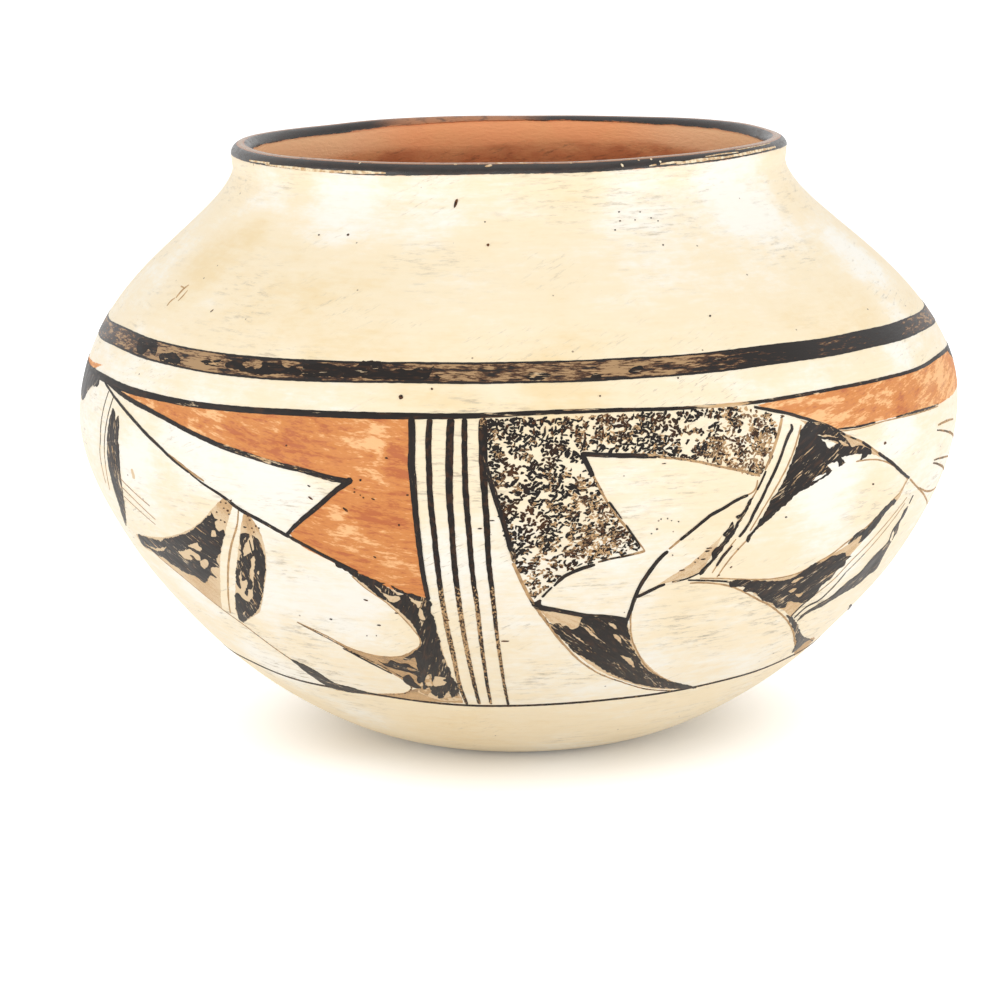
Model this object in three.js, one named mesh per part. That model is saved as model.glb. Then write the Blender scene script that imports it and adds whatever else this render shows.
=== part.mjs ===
// A coil-built clay jar with a low wide belly, a sloping shoulder and an open mouth.
// Millimetres, +Z up. The origin is on the table, under the middle of the foot.
// The jar is built as a potter builds it: a base pressed in a shallow mould, then clay coils
// laid one on another, each lapped down inside the one below, and a last coil for the rim.
import * as THREE from "three";

// Overall sizes of the fired jar
const POT_HEIGHT = 189.8;
const BELLY_DIAMETER = 280;
const BELLY_HEIGHT = 105;
const FOOT_DIAMETER = 80;
const NECK_DIAMETER = 174.5;
const NECK_DEPTH = 8.2; // from the crest of the rim down to the narrowest ring of the neck
const RIM_DIAMETER = 175.6;

// Clay thicknesses
const WALL_THICKNESS = 6.5;
const FLOOR_THICKNESS = 8;
const LIP_THICKNESS = 6.8;
const LIP_ROUNDING = 3.4; // height of the rounded crest of the rim

// How full the outline is: the length and lean of its curve handles
const FOOT_REACH = 40;
const FOOT_RISE = THREE.MathUtils.degToRad(8); // slope at which the wall leaves the foot
const BELLY_DROP = 41.3;
const BELLY_RISE = 41.2;
const NECK_REACH = 20;
const NECK_FLARE = THREE.MathUtils.degToRad(18); // lean of the wall where it meets the neck

// The hand-built throat leans a little to the left of the belly's middle
const THROAT_OFFSET = 2;
const LEAN_SHARE = 0.75; // the share of the rise above the belly over which the lean comes in

// The courses of clay
const BASE_LENGTH = 62; // wall of the moulded base, measured along the outside from the foot
const COIL_COUNT = 8;
const RIM_LENGTH = 6; // wall of the rim coil below the neck
const JOINT_LAP = 6; // how far each coil laps down inside the one below
const JOINT_GAP = 0.3; // clearance between the two faces of a joint

// Fineness of the faceted surfaces
const SIDES = 64;
const BASE_STEPS = 7;
const COIL_STEPS = 3;
const LIP_STEPS = 8;

const footRadius = FOOT_DIAMETER / 2;
const bellyRadius = BELLY_DIAMETER / 2;
const neckRadius = NECK_DIAMETER / 2;
const neckHeight = POT_HEIGHT - NECK_DEPTH;

// The outside of the wall in one half section: x is the radius and y the height
const lowerWall = new THREE.CubicBezierCurve(
  new THREE.Vector2(footRadius, 0),
  new THREE.Vector2(
    footRadius + FOOT_REACH * Math.cos(FOOT_RISE),
    FOOT_REACH * Math.sin(FOOT_RISE),
  ),
  new THREE.Vector2(bellyRadius, BELLY_HEIGHT - BELLY_DROP),
  new THREE.Vector2(bellyRadius, BELLY_HEIGHT),
);
const upperWall = new THREE.CubicBezierCurve(
  new THREE.Vector2(bellyRadius, BELLY_HEIGHT),
  new THREE.Vector2(bellyRadius, BELLY_HEIGHT + BELLY_RISE),
  new THREE.Vector2(
    neckRadius + NECK_REACH * Math.sin(NECK_FLARE),
    neckHeight - NECK_REACH * Math.cos(NECK_FLARE),
  ),
  new THREE.Vector2(neckRadius, neckHeight),
);
const lowerLength = lowerWall.getLength();
const wallLength = lowerLength + upperWall.getLength();

// The point of the outer wall at a distance from the foot, and the way the wall runs there
function outerWall(distance) {
  const low = distance < lowerLength;
  const curve = low ? lowerWall : upperWall;
  const along = (low ? distance : distance - lowerLength) / curve.getLength();
  const u = THREE.MathUtils.clamp(along, 0, 1);
  return { point: curve.getPointAt(u), tangent: curve.getTangentAt(u) };
}

// The clay thins from the floor's thickness to the wall's over the moulded base
function thicknessAt(distance) {
  const share = THREE.MathUtils.clamp(distance / BASE_LENGTH, 0, 1);
  return THREE.MathUtils.lerp(FLOOR_THICKNESS, WALL_THICKNESS, share);
}

// The point of the inner wall that lies straight across the clay from the outer one
function innerWall(distance) {
  const { point, tangent } = outerWall(distance);
  const inward = new THREE.Vector2(-tangent.y, tangent.x);
  return point.addScaledVector(inward, thicknessAt(distance));
}

// Points of one face of the wall, from one distance to another
function wallPoints(face, from, to, steps) {
  return Array.from({ length: steps + 1 }, (_, i) =>
    face(THREE.MathUtils.lerp(from, to, i / steps)),
  );
}

const outerFace = (distance) => outerWall(distance).point;

// Where a joint cuts the two faces. The lap carries the upper coil down inside the lower one,
// and side is -1 for the clay below the joint and 1 for the clay above it
function jointEnds(joint, side) {
  const lean = Math.atan2(JOINT_LAP, WALL_THICKNESS);
  const clearance = (side * JOINT_GAP) / 2 / Math.cos(lean);
  return {
    outer: joint + JOINT_LAP / 2 + clearance,
    inner: joint - JOINT_LAP / 2 + clearance,
  };
}

// How far the wall has leaned to the left at a height: nothing up to the belly, all at the throat
function leanAt(height) {
  const throat = THREE.MathUtils.lerp(BELLY_HEIGHT, POT_HEIGHT, LEAN_SHARE);
  return THROAT_OFFSET * THREE.MathUtils.smoothstep(height, BELLY_HEIGHT, throat);
}

// Turns a closed half section about +Z, then leans it
function turned(section) {
  const closed = [...section, section[0].clone()];
  const geometry = new THREE.LatheGeometry(closed, SIDES);
  geometry.rotateX(Math.PI / 2);
  const position = geometry.getAttribute("position");
  for (let i = 0; i < position.count; i++) {
    position.setX(i, position.getX(i) - leanAt(position.getZ(i)));
  }
  geometry.computeVertexNormals();
  return geometry;
}

function baseSection() {
  const { outer, inner } = jointEnds(BASE_LENGTH, -1);
  return [
    new THREE.Vector2(0, 0),
    ...wallPoints(outerFace, 0, outer, BASE_STEPS),
    ...wallPoints(innerWall, inner, 0, BASE_STEPS),
    new THREE.Vector2(0, FLOOR_THICKNESS),
  ];
}

function coilSection(bottomJoint, topJoint) {
  const bottom = jointEnds(bottomJoint, 1);
  const top = jointEnds(topJoint, -1);
  return [
    ...wallPoints(outerFace, bottom.outer, top.outer, COIL_STEPS),
    ...wallPoints(innerWall, top.inner, bottom.inner, COIL_STEPS),
  ];
}

// The rounded crest of the rim, from its outside over the top to its inside
function lipPoints() {
  const middle = RIM_DIAMETER / 2 - LIP_THICKNESS / 2;
  const springing = POT_HEIGHT - LIP_ROUNDING;
  return Array.from({ length: LIP_STEPS + 1 }, (_, i) => {
    const angle = (Math.PI * i) / LIP_STEPS;
    return new THREE.Vector2(
      middle + (LIP_THICKNESS / 2) * Math.cos(angle),
      springing + LIP_ROUNDING * Math.sin(angle),
    );
  });
}

function rimSection(bottomJoint) {
  const bottom = jointEnds(bottomJoint, 1);
  return [
    ...wallPoints(outerFace, bottom.outer, wallLength, COIL_STEPS),
    ...lipPoints(),
    ...wallPoints(innerWall, wallLength, bottom.inner, COIL_STEPS),
  ];
}

const creamSlip = { color: 0xf3e3c3, roughness: 0.5, metalness: 0 };
const blackPaint = { color: 0x2b2725, roughness: 0.45, metalness: 0 };

function clayPiece(name, section, finish) {
  const mesh = new THREE.Mesh(
    turned(section),
    new THREE.MeshStandardMaterial(finish),
  );
  mesh.name = name;
  return mesh;
}

const pot = new THREE.Group();
pot.name = "clay_pot";

pot.add(clayPiece("moulded_base", baseSection(), creamSlip));

const rimJoint = wallLength - RIM_LENGTH;
const coilLength = (rimJoint - BASE_LENGTH) / COIL_COUNT;
for (let i = 0; i < COIL_COUNT; i++) {
  const bottomJoint = BASE_LENGTH + i * coilLength;
  const section = coilSection(bottomJoint, bottomJoint + coilLength);
  pot.add(clayPiece(`wall_coil_${i + 1}`, section, creamSlip));
}

pot.add(clayPiece("rim_coil", rimSection(rimJoint), blackPaint));

export default pot;
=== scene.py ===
"""The looks of a coil-built, painted clay jar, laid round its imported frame."""

import math
from collections import namedtuple
from functools import partial

import bpy
import numpy as np
from mathutils import Matrix, Vector, noise
from mathutils.bvhtree import BVHTree
from mathutils.geometry import delaunay_2d_cdt, interpolate_bezier
from mathutils.interpolate import poly_3d_calc


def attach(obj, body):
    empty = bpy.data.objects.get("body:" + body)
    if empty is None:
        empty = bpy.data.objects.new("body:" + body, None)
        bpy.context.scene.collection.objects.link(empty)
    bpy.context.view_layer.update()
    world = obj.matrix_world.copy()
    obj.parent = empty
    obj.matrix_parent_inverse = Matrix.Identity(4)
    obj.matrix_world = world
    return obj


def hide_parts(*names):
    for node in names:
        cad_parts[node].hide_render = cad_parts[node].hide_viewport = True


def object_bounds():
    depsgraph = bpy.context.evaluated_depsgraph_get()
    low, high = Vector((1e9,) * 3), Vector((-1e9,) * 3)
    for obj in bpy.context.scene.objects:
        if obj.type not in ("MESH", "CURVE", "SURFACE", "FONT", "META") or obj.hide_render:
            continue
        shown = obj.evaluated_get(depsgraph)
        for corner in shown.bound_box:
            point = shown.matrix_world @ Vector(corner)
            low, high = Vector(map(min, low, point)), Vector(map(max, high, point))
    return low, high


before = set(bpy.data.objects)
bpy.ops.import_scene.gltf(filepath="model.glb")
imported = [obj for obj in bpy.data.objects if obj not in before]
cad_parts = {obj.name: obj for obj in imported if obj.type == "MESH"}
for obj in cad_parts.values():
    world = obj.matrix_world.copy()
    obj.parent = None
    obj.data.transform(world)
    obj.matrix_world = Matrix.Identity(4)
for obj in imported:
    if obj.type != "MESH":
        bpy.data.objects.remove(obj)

bl_info = {
    "name": "Painted Clay Jar",
    "version": (1, 0, 0),
    "blender": (4, 5, 0),
    "location": "View3D > Sidebar > Clay Jar",
    "description": "Turns the skins of a coil-built jar and paints them",
    "category": "Add Mesh",
}

CAD_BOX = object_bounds()
CAD_WIDTH = CAD_BOX[1][0] - CAD_BOX[0][0]
CAD_HEIGHT = CAD_BOX[1][2] - CAD_BOX[0][2]

# The camera of the picture. Its points are counted on a square of PICTURE_SIZE.
PICTURE_SIZE = 1000
PICTURE_FOCAL = 3631
CAMERA_PLACE = Vector((-0.00646, -1.150, 0.2968))
CAMERA_PITCH = math.radians(11.02)
CAMERA_ROLL = math.radians(-0.89)
SENSOR_WIDTH = 36
# How a point of the picture that lies off the jar's side is searched for, in the picture's units
SEARCH_STEP = 0.5
SEARCH_STEPS = 60
TURN_PAST_SIDE = math.radians(1.1)  # for each unit off the side

MM = 0.001
HALF_TURN = math.pi


def paint_colour(red, green, blue):
    """A screen colour of 0 to 255 as the linear colour that Blender's sockets take."""

    def linear(value):
        share = value / 255
        if share <= 0.04045:
            return share / 12.92
        return ((share + 0.055) / 1.055) ** 2.4

    return (linear(red), linear(green), linear(blue))


def length_property(name, description, millimetres):
    return bpy.props.FloatProperty(
        name=name,
        description=description,
        default=millimetres * MM,
        unit="LENGTH",
        precision=5,
    )


def colour_property(name, description, red, green, blue):
    return bpy.props.FloatVectorProperty(
        name=name,
        description=description,
        default=paint_colour(red, green, blue),
        subtype="COLOR",
        min=0,
        max=1,
    )


class JarShape(bpy.types.PropertyGroup):
    """The sizes of the turned wall."""

    belly_diameter: length_property("Belly diameter", "Across the widest ring", CAD_WIDTH / MM)
    belly_height: length_property("Belly height", "Height of the widest ring", 105)
    height: length_property("Height", "From the table to the crest of the rim", CAD_HEIGHT / MM)
    foot_diameter: length_property("Foot diameter", "Across the flat underside", 80)
    neck_diameter: length_property("Neck diameter", "Across the narrowest ring", 174.5)
    neck_depth: length_property("Neck depth", "From the crest down to the neck", 8.2)
    rim_diameter: length_property("Rim diameter", "Across the outside of the lip", 175.6)
    wall: length_property("Wall", "Thickness of the clay", 6.5)
    floor: length_property("Floor", "Thickness of the clay at the bottom", 8)
    lip: length_property("Lip", "Thickness of the lip", 6.8)
    lip_rounding: length_property("Lip rounding", "Height of the lip's rounded crest", 3.4)
    foot_reach: length_property("Foot fullness", "Handle of the curve at the foot", 40)
    belly_drop: length_property("Lower fullness", "Handle of the curve below the belly", 41.3)
    belly_rise: length_property("Upper fullness", "Handle of the curve above the belly", 41.2)
    neck_reach: length_property("Neck fullness", "Handle of the curve at the neck", 20)
    foot_slope: bpy.props.FloatProperty(
        name="Foot slope",
        description="Slope at which the wall leaves the foot",
        default=math.radians(8),
        subtype="ANGLE",
    )
    neck_flare: bpy.props.FloatProperty(
        name="Neck flare",
        description="Lean of the wall where it meets the neck",
        default=math.radians(18),
        subtype="ANGLE",
    )
    throat_offset: length_property("Throat offset", "How far the throat leans to the left", 2)
    lean_share: bpy.props.FloatProperty(
        name="Lean share",
        description="Share of the rise above the belly over which the lean comes in",
        default=0.75,
        min=0.1,
        max=1,
    )
    rim_dip: length_property("Rim dip", "How much lower the rim is at the back than at the front", 0.84)
    unevenness: length_property("Unevenness", "How far the hand-built wall wanders", 0.9)
    waves: bpy.props.FloatProperty(
        name="Waves",
        description="How many swells of the wall there are in a metre",
        default=16,
        min=0,
    )


class JarBrush(bpy.types.PropertyGroup):
    """How the paint goes on."""

    proud: length_property("Paint height", "How far one coat stands off the slip", 0.05)
    depth: length_property("Paint depth", "How deep a coat is keyed into the wall", 0.25)
    ragged: length_property("Ragged edge", "How far a brushed edge wanders", 0.11)
    dab_length: length_property("Dab length", "Length of a stippled dab", 1.45)
    dab_width: length_property("Dab width", "Width of a stippled dab", 0.72)
    dab_spacing: length_property("Dab spacing", "Least distance between two dabs", 0.6)
    seed: bpy.props.IntProperty(name="Seed", description="Picks the scatter of dabs and specks", default=7)


class JarColours(bpy.types.PropertyGroup):
    """The clay, the slip and the paints."""

    slip: colour_property("Slip", "The cream ground", 249, 232, 199)
    warm_slip: colour_property("Warm slip", "Where the fire has warmed the slip", 243, 219, 173)
    # Also a painted highlight and painted light, where the slip's tones put their whitest spots.
    white_slip_and_sheen: colour_property("White slip", "Where the slip is thick", 253, 248, 236)
    # Also the grey of the painted highlight along the rim's crest.
    soot_and_crest_sheen: colour_property("Smudge", "Grey of rubbed soot", 182, 167, 143)
    clay: colour_property("Clay", "The bare clay inside", 255, 174, 118)
    # The clay in the painted shadow low down inside.
    shaded_clay: colour_property("Shaded clay", "The clay low down inside", 200, 121, 76)
    orange: colour_property("Orange", "The orange paint", 216, 138, 72)
    deep_orange: colour_property("Deep orange", "Where the orange is thick", 190, 104, 54)
    pale_orange: colour_property("Pale orange", "Where the orange is rubbed", 250, 192, 134)
    black: colour_property("Black", "The mineral black", 30, 24, 21)
    brown: colour_property("Brown", "The black where it is thin", 84, 54, 34)
    wash: colour_property("Wash", "What shows where the black is worn", 206, 168, 122)
    speck: colour_property("Speck", "Iron specks in the slip", 104, 66, 40)


# What is painted on the front, in rows of numbers: commas part the numbers of a row, spaces part
# the rows. A path is a row of picture points, x and y.
# A spot is a picture point, a reach in millimetres and how worn the paint is there.
# An area has its sides, parted by |, which meet at its corners, the slant of the brush in degrees,
# how worn it is, its spots, and the gaps in it, parted by |.
Area = namedtuple("Area", "sides grain worn spots gaps", defaults=("", ""))


def table(text):
    return [tuple(float(value) for value in row.split(",")) for row in text.split()]


def tables(text):
    return [table(part) for part in text.split("|")]


# The painted rings: at each angle from the front, in degrees, the heights of the lower and the
# upper edge in millimetres. The back repeats the front.
SHOULDER_BAND = """-90,131,136.3 -70,132.2,137.8 -55,131.5,137.3 -42,131.6,137.5 -30,132.1,137.7
    -18,131.8,137.2 -2,132,137.6 12,132.6,138.2 28,132.6,138 42,133.1,138.2 58,132.6,137.5 75,131.4,136.2
    90,131,136.3"""
BORDER_LINE = """-90,121.9,123.3 -70,121.6,123.8 -60,121.1,123.3 -51,120.9,122.8 -40,121.7,123.5
    -30,122.8,124.6 -15,122.3,124.1 -4,122.9,124.3 10,124,125.2 20,123.3,124.3 30,122.9,123.9
    43,123.7,124.7 60,123.1,124.1 80,122.8,124 90,121.9,123.3"""
GROUND_LINE = """-90,32.4,33.2 -63,32.7,33.5 -48,31.2,32 -31,29.8,30.6 -16,27.9,28.7 0,28.2,29
    15,28.6,29.4 30,28.9,29.7 40,30.2,31 60,31,31.8 90,32.4,33.2"""
RIM_EDGE = "-90,186.8,189 -45,186.5,189 -30,186.1,189 -15,186.5,189 45,186.9,189 70,187.2,189 90,186.8,189"
RIM_REACH = 4.7  # how far past the crest the rim's black runs inside, in millimetres
SHOULDER_TOP = 188.5 * MM  # where the shoulder's slip ends, under that black
INSIDE_START = 1.5 * MM  # how far past the crest the bare clay starts, under it too

BAND_WEAR = """130,345,14,.52 165,355,10,.7 205,362,12,.85 240,367,10,.45 275,370,9,.7 340,372,26,.45
    405,373,18,.5 470,373,22,.5 540,372,22,.56 610,370,22,.6 680,367,20,.56 725,362,12,.42 800,352,26,.04
    880,337,26,.08"""
BORDER_WEAR = "725,406,9,.7 700,407,7,.5"

ORANGE_FEATHERS = (
    Area(
        """112,383.5 140,391 162,398 223,408 285,412 360,417 411,418 | 410,445 409,470 413.5,506 427,600
        | 404,594 383,585 333,562 300,544 290,534 | 320,507 351,481 | 322,476 280,465 240,452 200,436
        160,416 128,396""",
        -9, .46,
        """125,390,5,.8 150,402,6,.62 215,425,9,.68 192,425,2.5,.95 240,436,8,.3 300,448,12,.3
        330,440,8,.45 372,442,6,1.15 358,438,4,.8 385,440,3,.7 372,456,3,.12 375,475,6,.62 384,453,3,1.25
        385,490,5,.62 400,460,7,.2 400,500,6,.25 336,512,4,1.15 345,505,3,.7 355,540,6,1.3 340,545,4,1.1
        375,543,5,1.1 390,552,4,.55 400,570,6,.62 412,575,4,.5 305,532,5,.35 350,560,10,.3 380,520,10,.28""",
    ),
    Area(
        """757,405 839,389 881.5,380 913,371 942,354 950,347 960,341 968,337 | 966,355 961,378 952,395 |
        937,405 911,413 883,420 859,426 840,430 | 816,422.5 787,413 770,410""",
        9, .68, "775,406,4,.7 900,406,5,.2 850,400,8,.5 925,385,8,.7 943,378,8,1",
    ),
)

# Washes that lie under the black, from brown where worn is 0 to pale tan where it is 1
WASHES = (
    # between the two petals, thickest at the heel
    Area(
        """335,641 345,646 357,650 370,654 390,657 400,656 408,653 420,645 | 428,668 430,690 411,687 |
        403,680 393,674 380,666 367,660 355,653 343,647""",
        -25, .25,
    ),
    # round the heel of the black beside the four lines
    Area(
        """340,563 360,574 383,585 404,595 427,601 | 433,618 441,645 462,700 | 440,700 418,692 | 424,660
        420,639 413,629 399,614 383,599 366,588 352,575""",
        60, 1.05,
    ),
    # along the ground line below the lowest petal
    Area(
        """335,690 360,693 390,693.5 403,693 411,690 416,689 430,690 440,698 459,695 463,703 | 440,702
        400,698.5""",
        0, .3,
    ),
    # the wing at the far left
    Area(
        """223,498 232,503 229,517 223,540 220,562 220,580 222,608 | 207,597 190,583 174,570 156,554
        142,544 136,534 | 155,537 165,537 180,533.5 192,528 205,517 211,510""",
        -40, 1.05, "228,506,6,.45 205,585,10,.7",
    ),
    # the lens beside it
    Area(
        """244,511 252,519 259,530 264,545 266,560 266,575 264,590 262,603 260,611 252,617 243,623 |
        236.5,612 235.5,597 236.5,570 240,534""",
        85, 1.15, "250,521,6,.5",
    ),
    # the crescent left of the egg
    Area(
        """537,607 560,612 582,617 600,616 627,620 | 631,637 640,655 651,668 665,678 680,684 696,688 |
        675,689 648,687.5 620.5,679.6 601,671.5 581,657.5 565.5,641.5 552,624""",
        -40, .9,
    ),
    # the sliver above the egg
    Area("722,536 706,550 690,564 670,577 658,585 | 698,574 | 710,558", 35, .85),
    # under the tip of the right-hand feather
    Area("800,420 840,431 859,440 873,448 880,457 | 855,449 840,445 822,436", -25, .7),
    # the wedge right of the egg, with its tip towards the upper right
    Area(
        """735,582 752,581 778,579 800,573 818,562 833,554 865,531.5 894,500.5 906,480 | 901,494 884,514
        867,536 850,555 838.4,569 817.8,588 802,603.6 790,617 | 786,612 770,604 745,587.5""",
        40, .75, "880,517,12,1 780,605,4,.35",
    ),
    # the foot of the line right of the egg
    Area("793,639 804,640 812,641.5 803,650 795,655 796,648", 10, .4),
    # a run of ochre in the frieze
    Area("131,469 132.5,469 135,479 133.5,479", 80, 1),
)

BLACK_AREAS = (
    # the heel beside the four lines
    Area(
        """335,561 345,566 355,571.5 365,575.5 375,580 393,586 400,590 416,595 427,599 430,601 431,612
        434,618 436,624 437,632 440,640 441,648 446,662 449,668 451,675 457,684 459,690 459,694 455,696
        452,697 450,694 449,690 447,693 444,696 443,691 442,698 439,698 438,692 436,696 434,695 431,690
        430,687 424,689 422,682 419,683 417,680 418,675 417,650 421,645 421,640 415,628 411,622 406,617
        390,603 380,597 372,591 367,586 360,580.5 345,570 335,564.5""",
        72, .14,
        gaps="""374,584.5 379,588 384,593 392,596 397,595.5 400,597 400,599.5 392,602.5 385,596 | 382,584
        386,583.5 390,585 393,588 400,593 404,594 400,595.5 393,591 386,586 | 409,596 417,601 423,601.5
        421,603 420,606 418.5,608 416,604 411,601 | 419,611 420,608 422,610 423,620 421,619 | 435,676
        446,678 443,680 447,682 445,684 434,686 | 427,675 430,674 432,680 432,686 428,686""",
    ),
    # strokes that run left from the heel
    Area("403,659 408,656 412,653 420,649 422,653 412,658 406,660", -20, .14),
    Area(
        "378,660 383,663 388,663 391,660 400,663 406,663 412,666 420,672 420,676 408,672 393,668 381,662.5",
        -20, .14,
        gaps="396,665.5 400,665.5 399,667 | 407,667 412,668 417,671 408,669.3",
    ),
    Area("403,680 406,675 408,674.5 415,682 421,688 416,688 406,683", -40, .14),
    # the swelling of the lowest petal's edge
    Area("290,658.5 303,664 318,672 335,683 350,687 360,690 370,693 350,692 328,686 312,676", -25, .14),
    # the wing at the far left
    Area(
        """138,534 147,537 155,539 161,541 165,538.5 172,537.5 179,535 187,533 197,526 207,517 211,514
        210.5,511 215,518 218,519.5 215,522 216,527 219,531 224,530 225,533 224,538 222,545 221,551
        218,557 217,562 220,566 214,567 211,571 217,578 211,575 209,577 207,581 204,582.5 200,579 190,574
        183,571 179,568 172,564 165,558 158,555 153,551 142,543""",
        -28, .14,
        gaps="""145,543.5 156,548 167,547 164,550 159,551 153,549 | 178,551 184,550.5 190,549 196,553
        200,556 201,560 197,560 192.5,555.5 190,555 193,558.5 191,560 188,559.5 184,558 | 188,546
        193,543.5 198,543 199,546 202,548 199,551 195,549 | 200,561 208,560.5 209,564 206,567 203,568
        201,565 | 212,530 216,531 216,536 211.5,536""",
    ),
    # the right-hand side of the lens, closed below and hooked up on the left
    Area(
        """252,535 256,537 260,542 263,550 266,566 265,575 263,592 261,600 259,609 255,613 246,620
        243,622 240,620 238,615 236.5,611 236,602 235.5,594 238,593 243,598 247,601.5 251,599 253,595
        253,590 254,584 254,575 255,565 255,557 253,553 254,548 253,541""",
        85, .14,
        gaps="257,573 259,570 258,574.5 | 243,613 245.5,611 243.5,614.5",
    ),
    # the broken strokes in the middle of the lens
    Area(
        """240.5,534 245,533 249.5,534 250,536 247,541 243.5,550 244,556 249,554 251,552.5 253.5,556
        251,559 251,566 250,577 252,581 253,585 252,589 248,590 248.5,594 247,596 245.5,594 246.5,590
        247,580 242.5,580.5 242,576 241,565 240,556 241,552 238.5,548.5 240.5,549 240,540""",
        85, .14,
        gaps="244,539 246,537 245,540",
    ),
    Area("237.5,560 240,560.5 239.5,576 240,588 238.5,586 236.5,570", 85, .14),
    # the wedge right of the egg
    Area(
        """729,583 733,581 755,580.5 780,580.5 790,579 803,571 815,563 825,560.5 830,557 838,555
        845,552.5 846,556 851,556 846,560 845,564 836,571 832,577 822,585 815,594 806,602 796,602
        787,602.5 786,606 780,608 770,602 762,600 753,592 743,590 745,588 740,586.5 729,585""",
        32, .14, "781,600,2.5,.5",
        gaps="""791,582 797,578 804,577 799,580 793,583 | 788,591 794,588 797,588 793,592 | 795,594
        799,593 803,593 799,597""",
    ),
    # its broken tip
    Area(
        """894,498.5 885,507 873,520 865,529 861,530 852,538 848,544 856,538.5 862,535 858.5,543 866,537
        878,523 884,514 896,500.5""",
        48, .14,
    ),
    # the sliver right of the three thin lines
    Area(
        """908,506 903,517 900,521 897,531 889,545 882,558 875,570 868,575 858,584 843,593 818,608
        806,614 797,621 803,614 815,606 830,597 846,583 860,572 872,558 879,551 887,543 893,529 900,519
        905,509""",
        48, .14,
        gaps="893,530 894.5,532 891,541 890,540",
    ),
    # the large black area right of the white stripes
    Area(
        """803,428 809,421 815,424 826,427 838,432 846,439 852,447 858,445 867,448 871,451 871,453
        868,455 860,460 852,461 845,463 838,467 830,472 829,474 821,479 804,490 798,493 786,504 780,509
        768,520 757,529 751,537 748,542 746,541 752,531 759,522 760,519 763,517 765,512 768,506 771,499
        776,494 780,487 784,480 788,470 799,440 801,430""",
        32, .14,
        gaps="""821,439 833,440.5 838,443 832,447 830,449 825,443 | 817,435 822,434.5 838,437 822,436.5 |
        841,457 848,456 862,455.5 860,459 842,459 | 827,465 834,462 838,462 838,467 832,470 | 811,482
        822,474 826,473 814,481 | 838,440 842,441 849,446 846,446.5 841,443.5""",
    ),
    # the crescent left of the egg
    Area(
        """548,622 553,624 556,623 561,624 563,626 566,625 570,629 575,629 580,622 582,617 590,616
        610,617 627,619 627,625 628,630 630,635 631,645 634,650 648,670 658,676 667,680 695,688 675,688.5
        655,687 635,683 617,676 603,669 596,664 583,657 572,650 567,644 552,628 545,618""",
        -48, .14,
        gaps="""571,633 583,643 592,649 586,644.5 578,637 | 584,626 588,628 597,637 606,643.5 593,636
        585,628 | 608,623 616,625 616,629 610,625 | 613,634 616,634 621,643 614,636 | 620,655 628,657
        630,658 634,667 625,660""",
    ),
    # the stem right of the egg
    Area("786,615 790,616 797,624 799,630 804,637 812,641 804,643 796,650 796,640 793,629", -60, .14),
    # the thick edge of the sliver above the egg
    Area(
        """754,496 750,500 742,512 735,517 737,519 734,528 733,522 727,530 723,535.5 725,537 720,545
        713,550 711,560 702,568 698,573 700,575 708,567 716,558 724,547 733,535 741,521""",
        52, .14,
    ),
    # the corner where the stippled field meets the crescent
    Area("529,599 534,602 541,600 541,604 560,609 545,611 534,607", -20, .14),
)

# Solid black inside the shoulder band
BAND_BLOCKS = (
    Area(
        """304,365 310,364 325,364 340,366 350,367 358,366 361,362 370,361 381,362 383,367 395,370
        402,369 410,371 418,368 430,369 434,366 433,369 430,376 427,379 418,380 400,380 390,379 370,379
        358,377 350,378 330,377 310,377 303,376 302,370""",
        0, .05,
    ),
    Area(
        """226,363 232,361 245,359 250,359.5 243,364 245,368 252,367 256,369 262,367 262,363 268,362
        275,363 281,361 284,366 288,368 293,366 298,369 303,374 300,376 290,374 275,374 262,375 250,373
        230,368 225,366""",
        0, .08,
    ),
    Area("139,338.5 143,338 150,339 157,342 158,349 156,355 152,354 148,350 144,354 139,354 137,348", 0, .1),
    Area("160,354 168,353 175,353 179,357 181,361 178,364 170,363 162,362 159,358", 0, .1),
    Area("200,361 212,360 221,361 219,364 205,364", 0, .15),
    Area("436,375 441,378 439,380 433,380", 0, .1),
    Area("628,371 636,367 642,366 644,369 638,372 630,373", 0, .2),
    Area("590,377 598,374 602,377 596,379", 0, .2),
    Area("524,376 532,373 542,373 551,375 545,379 530,380", 0, .3),
    Area("712,359 720,358 728,359 720,360.5", 0, .2),
)

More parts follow.
